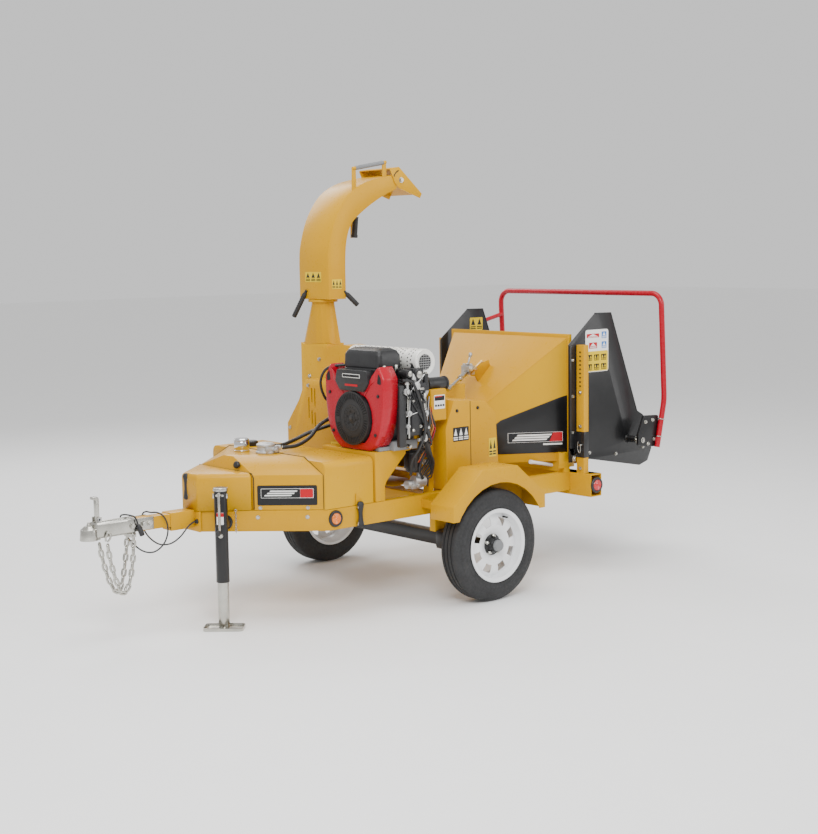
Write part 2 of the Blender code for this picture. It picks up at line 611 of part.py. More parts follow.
def rotor_housing():
    y, z = ROTOR
    ob = put("rotor_housing", prism(housing_outline(HOUSING_R, 0), "x", HOUSING_X0, HOUSING_X1))
    flat, top = duct_rings(0.0)
    fuse(ob, loft([slab(flat, 1.150), slab(top, 1.352), slab(top, 1.366)]))
    x, cy = CHUTE
    fuse(ob, loft([slab([(x + 0.066 * math.cos(t * math.pi / 8), cy + 0.085 * math.sin(t * math.pi / 8))
                         for t in range(16)], h) for h in (1.364, 1.3765)]))
    cut(ob, prism(housing_outline(HOUSING_R - 0.006, 0.006), "x", HOUSING_X0 + 0.005, HOUSING_X1 - 0.005))
    flat, top = duct_rings(0.005)
    cut(ob, loft([slab(flat, 1.140), slab(top, 1.350), slab(top, 1.39)]))
    cut(ob, block(-0.10, -0.08, -0.125, 0.105, 0.590, 0.765))
    cut(ob, rod((-0.22, y, z), (-0.08, y, z), 0.0305, 20))


def rotor():
    y, z = ROTOR
    hub = (-0.165, y, z)
    disc = [(0.0, -0.105), (0.0, 0.105), (0.025, 0.105), (0.025, 0.030), (0.060, 0.030), (0.060, 0.018),
            (0.305, 0.018), (0.305, -0.012), (0.060, -0.012), (0.060, -0.018), (0.025, -0.018),
            (0.025, -0.105)]
    ob = put("rotor_disc", lathe(disc, hub, (1, 0, 0), 28), STEEL, hub, 0.45, 0.8)
    for i in range(4):
        a = math.pi / 2 * i + 0.3
        c = math.cos(a)
        s = math.sin(a)
        mid = Vector((-0.142, y + 0.20 * c, z + 0.20 * s))
        knife = block(-0.006, 0.006, -0.08, 0.08, -0.02, 0.02)
        turn = Matrix.Translation(mid) @ Matrix.Rotation(a, 4, "X")
        bmesh.ops.transform(knife, matrix=turn, verts=knife.verts)
        fuse(ob, knife)
    pulley = [(0.0150, -0.266), (0.106, -0.266), (0.110, -0.258), (0.110, -0.2225), (0.106, -0.216),
              (0.0150, -0.216)]
    fuse(ob, lathe([(r, h + 0.165) for r, h in pulley], hub, (1, 0, 0), 28))


# ---- discharge chute ----------------------------------------------------------
def chute_elbow():
    x, y = CHUTE
    outer = [(-0.200, 1.378), (-0.200, 1.560), (-0.193, 1.640), (-0.160, 1.750), (-0.109, 1.840),
             (-0.044, 1.907), (0.061, 1.957), (0.240, 1.995)]
    inner = [(0.250, 1.925), (0.137, 1.876), (0.025, 1.810), (-0.048, 1.748), (-0.081, 1.670),
             (-0.092, 1.570), (-0.093, 1.378)]
    ob = put("chute_elbow", prism(outer + inner, "y", 0.290, 0.527), origin=(x, y, CHUTE_Z))
    hollow = [(-0.195, 1.36), (-0.195, 1.56), (-0.188, 1.639), (-0.155, 1.747), (-0.105, 1.835),
              (-0.041, 1.9015), (0.062, 1.951), (0.300, 2.0015), (0.300, 1.9525), (0.135, 1.881),
              (0.022, 1.815), (-0.052, 1.752), (-0.086, 1.672), (-0.097, 1.571), (-0.098, 1.36)]
    cut(ob, prism(hollow, "y", 0.295, 0.522))
    fuse(ob, block(-0.1995, -0.0935, 0.2905, 0.5265, 1.379, 1.385))
    cut(ob, rod((x, y, 1.36), (x, y, 1.40), 0.047, 18))
    fuse(ob, rod((-0.196, 0.478, 1.410), (-0.206, 0.478, 1.405), 0.0075, 8))
    fuse(ob, rod((-0.203, 0.471, 1.417), (-0.232, 0.540, 1.288), 0.0125, 10))
    fuse(ob, rod((-0.098, 0.294, 1.413), (-0.035, 0.270, 1.345), 0.0125, 10))
    fuse(ob, block(-0.030, -0.022, 0.2910, 0.2980, 1.905, 2.025))
    fuse(ob, block(0.166, 0.174, 0.2910, 0.2980, 1.972, 2.060))
    fuse(ob, rod((-0.034, 0.2945, 2.018), (0.182, 0.2945, 2.055), 0.011, 10))


def chute_deflector():
    hinge = (0.273, 0.4085, 1.967)
    cheek = [(0.200, 2.020), (0.261, 2.030), (0.412, 1.899), (0.400, 1.878), (0.262, 1.925), (0.235, 1.950)]
    top = [(0.205, 2.0235), (0.261, 2.0325), (0.4125, 1.9005), (0.4090, 1.8965), (0.2595, 2.0260),
           (0.206, 2.0180)]
    ob = put("chute_deflector", prism(cheek, "y", 0.2845, 0.2888), origin=hinge)
    fuse(ob, prism(cheek, "y", 0.5282, 0.5325))
    fuse(ob, prism(top, "y", 0.2850, 0.5320))
    fuse(ob, rod((0.262, 0.5375, 1.950), (0.158, 0.5375, 1.790), 0.006, 8))
    fuse(ob, rod((0.158, 0.5375, 1.800), (0.155, 0.5375, 1.680), 0.0125, 10))


# ---- feed rollers -------------------------------------------------------------
ROLLER = (0.130, 0.785)
ARM = (-0.020, 0.880)


def feed_box():
    ob = put("feed_box", block(-0.0925, 0.2950, -0.150, 0.150, 0.575, 0.955))
    cut(ob, block(-0.10, 0.290, -0.144, 0.144, 0.581, 0.949))
    cut(ob, block(0.28, 0.31, -0.1435, 0.1435, 0.590, 0.775))
    cut(ob, block(0.105, 0.175, -0.16, 0.16, 0.762, 0.852))
    cut(ob, rod((ARM[0], -0.16, ARM[1]), (ARM[0], 0.16, ARM[1]), 0.0135, 14))


def feed_roller():
    x, z = ROLLER
    hub = (x, 0, z)
    drum = [(0.0, -0.158), (0.018, -0.158), (0.018, -0.135), (0.083, -0.135), (0.083, 0.135), (0.018, 0.135),
            (0.018, 0.158), (0.0, 0.158)]
    ob = put("feed_roller", lathe(drum, hub, (0, 1, 0), 16), STEEL, hub, 0.5, 0.7)
    for i in range(4):
        bar = block(-0.095, 0.095, -0.128, 0.128, -0.005, 0.005)
        turn = Matrix.Translation(hub) @ Matrix.Rotation(math.pi / 4 * i + 0.1, 4, "Y")
        bmesh.ops.transform(bar, matrix=turn, verts=bar.verts)
        fuse(ob, bar)


def roller_arm():
    x, z = ROLLER
    px, pz = ARM
    reach = Vector((x - px, z - pz)).normalized()
    side = Vector((-reach.y, reach.x)) * 0.030
    tip = Vector(ROLLER) + reach * 0.030
    root = Vector(ARM) - reach * 0.022
    plate = rounded([tuple(root - side), tuple(tip - side), tuple(tip + side), tuple(root + side)], 0.018, 2)
    ob = put("roller_arm", rod((px, -0.1580, pz), (px, 0.1580, pz), 0.012, 12), STEEL, (px, 0, pz), 0.5, 0.5)
    fuse(ob, prism(plate, "y", -0.1585, -0.1505))
    fuse(ob, prism(plate, "y", 0.1505, 0.1585))
    cut(ob, rod((x, -0.17, z), (x, 0.17, z), 0.0185, 14))
    body = [(0.0190, 0.158), (0.040, 0.158), (0.040, 0.205), (0.032, 0.207), (0.032, 0.235), (0.0190, 0.235)]
    fuse(ob, lathe(body, (x, 0, z), (0, -1, 0), 16))


def side_guard():
    shape = [(-0.092, DECK_Z), (-0.099, 0.790), (-0.045, 0.918), (0.155, 0.900), (0.222, 0.840),
             (0.247, DECK_Z)]
    inner = [(-0.088, 0.48), (-0.0949, 0.789), (-0.0423, 0.9137), (0.1533, 0.8961), (0.2181, 0.8381),
             (0.2437, 0.48)]
    ob = put("side_guard", prism(shape, "y", -0.4400, -0.1600))
    cut(ob, prism(inner, "y", -0.4355, -0.15))


def controls():
    put("control_box", block(-0.200, -0.100, -0.450, -0.320, 0.8333, 0.979, 0.004))
    bracket = [(0.450, 0.9059), (0.580, 1.0219), (0.580, 1.045), (0.420, 1.010), (0.420, 0.985)]
    ob = put("control_valve", block(0.410, 0.450, -0.060, 0.0, 0.985, 1.030, 0.003), STEEL, rough=0.4,
             metal=0.7)
    fuse(ob, prism(bracket, "y", -0.033, -0.028))
    fuse(ob, rod((0.415, -0.041, 1.001), (0.090, -0.250, 0.945), 0.008, 8))
    pivot = (0.430, -0.030, 1.034)
    put("valve_lever", rod((0.4305, -0.030, 1.035), (0.450, -0.030, 1.090), 0.007, 10, 0.010), STEEL, pivot,
        0.4, 0.8)


# ---- feed hopper and table ----------------------------------------------------
HOPPER_X0 = 0.300
HOPPER_X1 = 0.762


def hopper_ring(x, wall):
    """Cross-section of the square funnel at x, moved in by the wall."""
    t = (x - HOPPER_X0) / (HOPPER_X1 - HOPPER_X0)
    half = 0.140 + 0.2846 * t - wall * 1.17
    low = 0.600 - 0.007 * t + wall
    high = 0.771 + 0.412 * t - wall * 1.34
    return [(x, -half, low), (x, half, low), (x, half, high), (x, -half, high)]


def feed_hopper():
    ob = put("feed_hopper", loft([hopper_ring(HOPPER_X0, 0), hopper_ring(HOPPER_X1, 0)]))
    fuse(ob, block(0.745, 0.7615, -0.432, 0.432, 0.548, 1.186))
    fuse(ob, block(0.755, 0.775, -0.400, 0.400, 1.160, 1.1855))
    fuse(ob, block(0.700, 0.738, -0.440, 0.440, 0.4975, 0.595))
    for s in (-1, 1):
        skirt = [(0.440, s * 0.2262), (0.760, s * 0.4230), (0.760, s * 0.4165), (0.440, s * 0.2197)]
        fuse(ob, prism(skirt, "z", 0.5505, 0.600))
        y0, y1 = sorted((s * 0.4360, s * 0.4425))
        fuse(ob, block(0.660, 0.768, y0, y1, 0.522, 0.598))
        fuse(ob, rod((TABLE[0], s * 0.4365, TABLE[1]), (TABLE[0], s * 0.4795, TABLE[1]), 0.010, 12))
    cut(ob, loft([hopper_ring(0.290, 0.004), hopper_ring(0.785, 0.004)]))
    for side, s in (("left", -1), ("right", 1)):
        cut(ob, loft([side_ring(0.290, s, -0.0003, 0.020), side_ring(0.7447, s, -0.0003, 0.020)]))
        put("hopper_side_" + side, loft([side_ring(HOPPER_X0, s, 0, 0.0047), side_ring(0.7444, s, 0, 0.0047)]))


def side_ring(x, s, inset, depth):
    """Cross-section at x of one flat side panel of the funnel, measured from its inner face."""
    low = hopper_ring(x, 0.004)
    y = low[1][1]
    z0 = low[1][2] + inset
    z1 = low[2][2] - inset
    near = s * (y + inset)
    far = s * (y + depth)
    return [(x, near, z0), (x, far, z0), (x, far, z1), (x, near, z1)]


def feed_table():
    hinge = (TABLE[0], 0, TABLE[1])
    wing = [(0.700, 0.550), (0.700, 1.137), (0.893, 1.286), (1.012, 1.286), (1.216, 0.768), (1.262, 0.745),
            (1.318, 0.640), (1.330, 0.560), (1.300, 0.500), (1.235, 0.481), (0.850, 0.553), (0.760, 0.548)]
    pan = [(0.790, 0.578), (1.225, 0.494), (1.285, 0.512), (1.312, 0.560), (1.302, 0.630), (1.306, 0.631),
           (1.318, 0.558), (1.290, 0.506), (1.226, 0.4885), (0.790, 0.5725)]
    ob = put("feed_table", prism(pan, "y", -0.4690, 0.4690), BLACK, hinge, 0.4)
    for s in (-1, 1):
        y0, y1 = sorted((s * 0.4660, s * 0.4710))
        fuse(ob, prism(wing, "y", y0, y1))
        y0, y1 = sorted((s * 0.4705, s * 0.4790))
        fuse(ob, block(0.7005, 0.738, y0, y1, 0.620, 1.130))
        fuse(ob, rod((BAR[0], s * 0.4665, BAR[1]), (BAR[0], s * 0.580, BAR[1]), 0.0105, 12))
    cut(ob, rod((TABLE[0], -0.49, TABLE[1]), (TABLE[0], 0.49, TABLE[1]), 0.0115, 14))


def control_bar():
    pivot = (BAR[0], 0, BAR[1])
    half = [(1.239, 0.585, 0.586), (1.290, 0.585, 0.810), (1.294, 0.585, 0.845), (1.270, 0.585, 1.300),
            (1.270, 0.567, 1.352), (1.270, 0.520, 1.374)]
    path = [(x, -y, z) for x, y, z in half] + half[::-1]
    clamp = [(1.105, 0.605), (1.105, 0.660), (1.150, 0.756), (1.262, 0.750), (1.255, 0.590), (1.190, 0.590)]
    ob = put("control_bar", tube(path, 0.0145, 12), RED, pivot, 0.25)
    for s in (-1, 1):
        y0, y1 = sorted((s * 0.560, s * 0.5745))
        fuse(ob, prism(clamp, "y", y0, y1))
        cut(ob, rod((BAR[0], s * 0.55, BAR[1]), (BAR[0], s * 0.60, BAR[1]), 0.0115, 12))
    fuse(ob, rod((1.272, 0.580, 1.243), (1.080, 0.560, 1.205), 0.012, 8))


def main():
    tongue()
    rails()
    cross_members()
    rear_bumper()
    fenders()
    axle()
    wheels()
    coupler()
    chains()
    jack()
    lights()
    wiring()
    battery_box()
    hydraulic_tank()
    fuel_tank()
    hydraulics()
    engine_mount()
    engine()
    belt_drive()
    rotor_housing()
    rotor()
    chute_elbow()
    chute_deflector()
    feed_box()
    feed_roller()
    roller_arm()
    side_guard()
    controls()
    feed_hopper()
    feed_table()
    control_bar()
    for ob in bpy.data.objects:
        ob.location.x += AXLE_X


main()
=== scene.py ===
"""Looks of the trailer-mounted wood chipper: finished meshes, materials, light and camera."""
import json
import math

import bmesh
import bpy
from mathutils import Matrix, Vector


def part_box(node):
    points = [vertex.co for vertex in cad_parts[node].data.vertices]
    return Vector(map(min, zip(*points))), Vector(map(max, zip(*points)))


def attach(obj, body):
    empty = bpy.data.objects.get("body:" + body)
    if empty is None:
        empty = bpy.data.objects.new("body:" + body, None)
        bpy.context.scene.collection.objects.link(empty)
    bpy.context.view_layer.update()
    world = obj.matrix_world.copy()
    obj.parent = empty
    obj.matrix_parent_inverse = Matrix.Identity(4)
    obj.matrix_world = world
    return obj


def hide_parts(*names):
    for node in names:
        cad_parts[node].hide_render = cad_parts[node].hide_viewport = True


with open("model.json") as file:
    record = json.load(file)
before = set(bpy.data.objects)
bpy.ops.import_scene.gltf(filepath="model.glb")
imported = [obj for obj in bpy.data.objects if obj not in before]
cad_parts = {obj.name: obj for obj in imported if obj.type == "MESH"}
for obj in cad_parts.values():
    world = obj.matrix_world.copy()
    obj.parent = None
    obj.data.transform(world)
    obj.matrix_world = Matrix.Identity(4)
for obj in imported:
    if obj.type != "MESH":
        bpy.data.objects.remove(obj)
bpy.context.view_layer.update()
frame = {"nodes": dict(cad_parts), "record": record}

NODES = frame["nodes"]
WHEEL_LO, WHEEL_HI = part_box("tyre_left")
AXLE = (WHEEL_LO.x + WHEEL_HI.x) / 2


def W(x, y, z):
    """A point given from the axle line: x rearward, y to the right-hand side, z up."""
    return Vector((AXLE + x, y, z))


# ---- camera -----------------------------------------------------------------
def camera():
    yaw = math.radians(49.17)
    pitch = math.radians(6.50)
    roll = math.radians(0.84)
    forward = Vector((math.cos(pitch) * math.cos(yaw), math.cos(pitch) * math.sin(yaw), -math.sin(pitch)))
    right = Vector((math.sin(yaw), -math.cos(yaw), 0.0))
    down = forward.cross(right)
    x_axis = math.cos(roll) * right + math.sin(roll) * down
    y_axis = -(math.cos(roll) * down - math.sin(roll) * right)
    data = bpy.data.cameras.new("camera")
    data.sensor_width = 36.0
    data.lens = 64.14
    data.clip_end = 100.0
    ob = bpy.data.objects.new("camera", data)
    bpy.context.scene.collection.objects.link(ob)
    rows = Matrix((x_axis, y_axis, -forward)).transposed().to_4x4()
    ob.matrix_world = Matrix.Translation(W(-4.6928, -5.4972, 1.6257)) @ rows
    bpy.context.scene.camera = ob


# ---- materials ----------------------------------------------------------------
MATERIALS = {}


def new_material(name):
    mat = bpy.data.materials.new(name)
    mat.use_nodes = True
    return mat, mat.node_tree.nodes, mat.node_tree.links, mat.node_tree.nodes["Principled BSDF"]


def noise(nodes, links, coords, scale, detail=4.0, rough=0.55):
    tex = nodes.new("ShaderNodeTexNoise")
    tex.inputs["Scale"].default_value = scale
    tex.inputs["Detail"].default_value = detail
    tex.inputs["Roughness"].default_value = rough
    links.new(coords, tex.inputs["Vector"])
    return tex.outputs["Fac"]


def ramp(nodes, links, fac, stops):
    node = nodes.new("ShaderNodeValToRGB")
    while len(node.color_ramp.elements) < len(stops):
        node.color_ramp.elements.new(0.5)
    for element, (place, colour) in zip(node.color_ramp.elements, stops):
        element.position = place
        element.color = (*colour, 1.0)
    links.new(fac, node.inputs["Fac"])
    return node.outputs["Color"]


def spread(nodes, links, fac, low, high):
    node = nodes.new("ShaderNodeMapRange")
    node.inputs["From Min"].default_value = 0.3
    node.inputs["From Max"].default_value = 0.7
    node.inputs["To Min"].default_value = low
    node.inputs["To Max"].default_value = high
    links.new(fac, node.inputs["Value"])
    return node.outputs["Result"]


def surface(name, colour, rough, metal=0.0, vary=0.06, grain=900.0, bump=0.05, coat=0.0, edge_highlight=None,
            streak=None,
            patch=5.0, shine=0.5):
    """A finish whose colour, roughness and fine relief all vary a little over the part."""
    mat, nodes, links, shader = new_material(name)
    coords = nodes.new("ShaderNodeTexCoord").outputs["Object"]
    if streak:
        mapping = nodes.new("ShaderNodeMapping")
        mapping.inputs["Scale"].default_value = streak
        links.new(coords, mapping.inputs["Vector"])
        coords = mapping.outputs["Vector"]
    broad = noise(nodes, links, coords, patch)
    dark = tuple(max(c * (1 - vary), 0.0) for c in colour)
    light = tuple(min(c * (1 + vary) + 0.004, 1.0) for c in colour)
    tint = ramp(nodes, links, broad, [(0.32, dark), (0.5, colour), (0.68, light)])
    # Painted highlight: convex edges, found by pointiness, are mixed towards a lighter copy of the paint
    # colour.
    if edge_highlight:
        point = nodes.new("ShaderNodeNewGeometry").outputs["Pointiness"]
        highlight_mask = nodes.new("ShaderNodeMapRange")
        highlight_mask.inputs["From Min"].default_value = 0.53
        highlight_mask.inputs["From Max"].default_value = 0.62
        highlight_mask.inputs["To Max"].default_value = 0.55
        links.new(point, highlight_mask.inputs["Value"])
        mix = nodes.new("ShaderNodeMix")
        mix.data_type = "RGBA"
        links.new(highlight_mask.outputs["Result"], mix.inputs["Factor"])
        links.new(tint, mix.inputs["A"])
        mix.inputs["B"].default_value = (*edge_highlight, 1.0)
        tint = mix.outputs["Result"]
    links.new(tint, shader.inputs["Base Color"])
    fine = noise(nodes, links, coords, patch * 9.0, 6.0)
    links.new(spread(nodes, links, fine, rough * 0.85, min(rough * 1.18, 1.0)), shader.inputs["Roughness"])
    shader.inputs["Metallic"].default_value = metal
    shader.inputs["Specular IOR Level"].default_value = shine
    shader.inputs["Coat Weight"].default_value = coat
    shader.inputs["Coat Roughness"].default_value = 0.12
    relief = nodes.new("ShaderNodeBump")
    relief.inputs["Strength"].default_value = bump
    relief.inputs["Distance"].default_value = 0.001
    links.new(noise(nodes, links, coords, grain, 2.0), relief.inputs["Height"])
    links.new(relief.outputs["Normal"], shader.inputs["Normal"])
    MATERIALS[name] = mat
    return mat


def materials():
    # The edge colours given below are lighter copies of each paint: a painted highlight along convex edges.
    surface("yellow_enamel", (0.540, 0.272, 0.0), 0.30, vary=0.03, grain=420, bump=0.02, coat=0.0,
            edge_highlight=(0.64, 0.36, 0.0), shine=0.16)
    surface("black_enamel", (0.0050, 0.0050, 0.0056), 0.34, shine=0.35, vary=0.12, grain=500, bump=0.05,
            coat=0.15,
            edge_highlight=(0.035, 0.035, 0.037))
    surface("red_enamel", (0.36, 0.0, 0.012), 0.27, vary=0.03, grain=420, bump=0.012, coat=0.12,
            edge_highlight=(0.44, 0.01, 0.02), shine=0.30)
    surface("white_enamel", (0.78, 0.79, 0.80), 0.30, vary=0.03, grain=420, bump=0.03, coat=0.3)
    surface("grey_enamel", (0.17, 0.175, 0.18), 0.42, vary=0.08, grain=500, bump=0.08)
    surface("zinc_plate", (0.47, 0.46, 0.42), 0.25, metal=1.0, vary=0.10, grain=260, bump=0.10, patch=22.0)
    surface("polished_steel", (0.66, 0.66, 0.66), 0.09, metal=1.0, vary=0.03, grain=300, bump=0.02)
    surface("machined_steel", (0.42, 0.42, 0.42), 0.36, metal=0.9, vary=0.12, grain=260, bump=0.12,
            patch=16.0)
    surface("cast_aluminium", (0.52, 0.52, 0.51), 0.48, metal=0.85, vary=0.14, grain=340, bump=0.35,
            patch=18.0)
    surface("black_casting", (0.012, 0.012, 0.013), 0.46, vary=0.25, grain=380, bump=0.35, patch=12.0)
    surface("moulded_black", (0.0095, 0.0095, 0.0105), 0.42, vary=0.15, grain=700, bump=0.22)
    surface("grip_rubber", (0.016, 0.016, 0.017), 0.62, vary=0.15, grain=700, bump=0.25)
    surface("cable_rubber", (0.014, 0.014, 0.015), 0.50, vary=0.15, grain=900, bump=0.15)
    surface("tyre_rubber", (0.017, 0.017, 0.018), 0.70, vary=0.22, grain=520, bump=0.35, patch=9.0)
    surface("belt_rubber", (0.030, 0.030, 0.031), 0.75, vary=0.2, grain=500, bump=0.4)
    surface("heat_shield", (0.86, 0.85, 0.80), 0.40, metal=0.35, vary=0.07, grain=300, bump=0.10, patch=9.0)
    surface("amber_plastic", (0.75, 0.17, 0.0), 0.16, vary=0.08, grain=200, bump=0.05, coat=0.6)
    surface("ruby_plastic", (0.52, 0.006, 0.008), 0.16, vary=0.08, grain=200, bump=0.05, coat=0.6)
    surface("label_white", (0.80, 0.80, 0.78), 0.38, vary=0.02, grain=900, bump=0.02)
    surface("label_yellow", (0.72, 0.50, 0.0), 0.38, shine=0.3, vary=0.03, grain=900, bump=0.02)
    surface("label_blue", (0.02, 0.16, 0.50), 0.36, vary=0.03, grain=900, bump=0.02)
    surface("label_black", (0.006, 0.006, 0.007), 0.30, shine=0.35, vary=0.10, grain=900, bump=0.02)
    surface("label_red", (0.45, 0.0, 0.008), 0.36, shine=0.3, vary=0.05, grain=900, bump=0.02)
    # Painted shade: a near-black finish for thin sheets standing in for the shade inside slots, holes, seams
    # and creases.
    surface("painted_shade", (0.006, 0.006, 0.007), 0.80, vary=0.2, grain=300, bump=0.10)
    surface("brass", (0.62, 0.44, 0.20), 0.34, metal=1.0, vary=0.12, grain=300, bump=0.08, patch=20.0)
    surface("copper_wire", (0.50, 0.16, 0.05), 0.45, vary=0.1, grain=500, bump=0.1)


# ---- mesh helpers ---------------------------------------------------------------
def finish_mesh(name, bm, finish, body, bevel=0.0, angle=32.0, segments=2):
    """Make an object of a bmesh in world metres, round its edges, and let it ride a body."""
    bmesh.ops.remove_doubles(bm, verts=bm.verts, dist=1e-6)
    bmesh.ops.recalc_face_normals(bm, faces=bm.faces)
    mesh = bpy.data.meshes.new(name)
    bm.to_mesh(mesh)
    bm.free()
    mesh.materials.append(MATERIALS[finish])
    ob = bpy.data.objects.new(name, mesh)
    bpy.context.scene.collection.objects.link(ob)
    if bevel:
        round_edges(ob, bevel, segments)
    ob.data.shade_smooth()
    ob.data.set_sharp_from_angle(angle=math.radians(angle))
    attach(ob, body)
    return ob


def round_edges(ob, width, segments):
    """Bevel the sharp edges and keep the result in the mesh."""
    mod = ob.modifiers.new("round", "BEVEL")
    mod.width = width
    mod.segments = segments
    mod.limit_method = "ANGLE"
    mod.angle_limit = math.radians(28)
    mod.use_clamp_overlap = True
    bpy.context.view_layer.update()
    depsgraph = bpy.context.evaluated_depsgraph_get()
    done = bpy.data.meshes.new_from_object(ob.evaluated_get(depsgraph))
    ob.modifiers.clear()
    old = ob.data
    ob.data = done
    bpy.data.meshes.remove(old)


def body_of(node):
    for body, members in frame["record"]["behaviour"]["bodies"].items():
        if node in members:
            return body
    return None


def refine(node, finish, bevel=0.0015, segments=2, angle=32.0):
    """The CAD node's own shape with rounded edges, in place of the plain solid."""
    bm = bmesh.new()
    bm.from_mesh(NODES[node].data)
    bmesh.ops.remove_doubles(bm, verts=bm.verts, dist=2e-5)
    bmesh.ops.dissolve_limit(bm, angle_limit=math.radians(0.6), verts=bm.verts, edges=bm.edges)
    ob = finish_mesh(node + "_skin", bm, finish, body_of(node), bevel, angle, segments)
    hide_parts(node)
    return ob


def block(x0, x1, y0, y1, z0, z1):
    bm = bmesh.new()
    bmesh.ops.create_cube(bm, size=1.0)
    size = Matrix.Diagonal((x1 - x0, y1 - y0, z1 - z0, 1.0))
    place = Matrix.Translation((AXLE + (x0 + x1) / 2, (y0 + y1) / 2, (z0 + z1) / 2))
    bmesh.ops.transform(bm, matrix=place @ size, verts=bm.verts)
    return bm


def loft(rings, close=False, caps=True):
    bm = bmesh.new()
    rows = [[bm.verts.new(p) for p in ring] for ring in rings]
    n = len(rings[0])
    last = len(rows) if close else len(rows) - 1
    for i in range(last):
        a = rows[i]
        b = rows[(i + 1) % len(rows)]
        for j in range(n):
            k = (j + 1) % n
            bm.faces.new((a[j], a[k], b[k], b[j]))
    if caps and not close:
        bm.faces.new(rows[0][::-1])
        bm.faces.new(rows[-1])
    return bm


def prism(profile, axis, lo, hi):
    """Extrude an outline given from the axle: x takes (y, z), y takes (x, z), z takes (x, y)."""
    def at(p, h):
        if axis == "x":
            return W(h, p[0], p[1])
        if axis == "y":
            return W(p[0], h, p[1])
        return W(p[0], p[1], h)
    return loft([[at(p, lo) for p in profile], [at(p, hi) for p in profile]])


def frame_of(direction):
    w = Vector(direction).normalized()
    side = Vector((0, 0, 1)) if abs(w.z) < 0.9 else Vector((1, 0, 0))
    u = side.cross(w).normalized()
    return u, w.cross(u), w


def ring(centre, direction, radius, n, turn=0.0):
    u, v = frame_of(direction)[:2]
    c = Vector(centre)
    return [c + radius * (math.cos(2 * math.pi * i / n + turn) * u + math.sin(2 * math.pi * i / n + turn) * v)
            for i in range(n)]


def rod(p0, p1, r0, n=24, r1=None):
    d = Vector(p1) - Vector(p0)
    return loft([ring(p0, d, r0, n), ring(p1, d, r0 if r1 is None else r1, n)])


def lathe(profile, centre, axis, n=48):
    """Revolve a closed (radius, height) outline about an axis through centre."""
    u, v, w = frame_of(axis)
    c = Vector(centre)
    rings = []
    for i in range(n):
        a = 2 * math.pi * i / n
        d = math.cos(a) * u + math.sin(a) * v
        rings.append([c + r * d + h * w for r, h in profile])
    bm = loft(rings, close=True)
    bmesh.ops.remove_doubles(bm, verts=bm.verts, dist=1e-6)
    bmesh.ops.dissolve_degenerate(bm, edges=bm.edges, dist=1e-6)
    return bm


def smooth_path(points, count):
    """Points along a Catmull-Rom curve through the given ones."""
    pts = [Vector(p) for p in points]
    pts = [2 * pts[0] - pts[1]] + pts + [2 * pts[-1] - pts[-2]]
    spans = len(pts) - 3
    out = []
    for i in range(count + 1):
        s = spans * i / count
        k = min(int(s), spans - 1)
        t = s - k
        a, b, c, d = pts[k:k + 4]
        out.append(0.5 * ((2 * b) + (c - a) * t + (2 * a - 5 * b + 4 * c - d) * t * t
                          + (3 * b - a - 3 * c + d) * t ** 3))
    return out


def tube(points, radius, n=14):
    """Round bar along a polyline, its rings carried without twist."""
    pts = [Vector(p) for p in points]
    u, v, w = frame_of(pts[1] - pts[0])
    rings = []
    for i, p in enumerate(pts):
        a = pts[max(i - 1, 0)]
        b = pts[min(i + 1, len(pts) - 1)]
        t = (b - a).normalized()
        u = w.rotation_difference(t) @ u
        w = t
        v = w.cross(u)
        rings.append([p + radius * (math.cos(2 * math.pi * j / n) * u + math.sin(2 * math.pi * j / n) * v)
                      for j in range(n)])
    return loft(rings)


def join(*parts):
    """Several bodies in one bmesh."""
    out = bmesh.new()
    for part in parts:
        mesh = bpy.data.meshes.new("join")
        part.to_mesh(mesh)
        part.free()
        out.from_mesh(mesh)
        bpy.data.meshes.remove(mesh)
    return out


def hexagon(centre, direction, across, height, turn=0.0):
    """A bolt head on a washer, its base at centre."""
    d = Vector(direction).normalized()
    c = Vector(centre)
    r = across / math.sqrt(3)
    washer = loft([ring(c, d, across * 0.78, 20), ring(c + d * height * 0.22, d, across * 0.74, 20)])
    a = c + d * height * 0.2
    head = loft([ring(a, d, r, 6, turn), ring(a + d * height * 0.72, d, r, 6, turn),
                 ring(a + d * height * 0.86, d, r * 0.86, 6, turn)])
    return join(washer, head)


def bolts(name, places, direction, body, across=0.016, height=0.009, finish="zinc_plate"):
    heads = [hexagon(p, direction, across, height, 0.4 * i) for i, p in enumerate(places)]
    return finish_mesh(name, join(*heads), finish, body, angle=30)


def rounded(corners, radius, steps=5):
    """A 2-D outline with each corner turned into a short arc."""
    out = []
    n = len(corners)
    for i in range(n):
        p = Vector(corners[i])
        a = Vector(corners[i - 1]) - p
        b = Vector(corners[(i + 1) % n]) - p
        back = min(radius / math.tan(a.angle(b) / 2), a.length * 0.45, b.length * 0.45)
        s = p + a.normalized() * back
        e = p + b.normalized() * back
        for k in range(steps + 1):
            t = k / steps
            q = (1 - t) ** 2 * s + 2 * t * (1 - t) * p + t * t * e
            out.append((q.x, q.y))
    return out


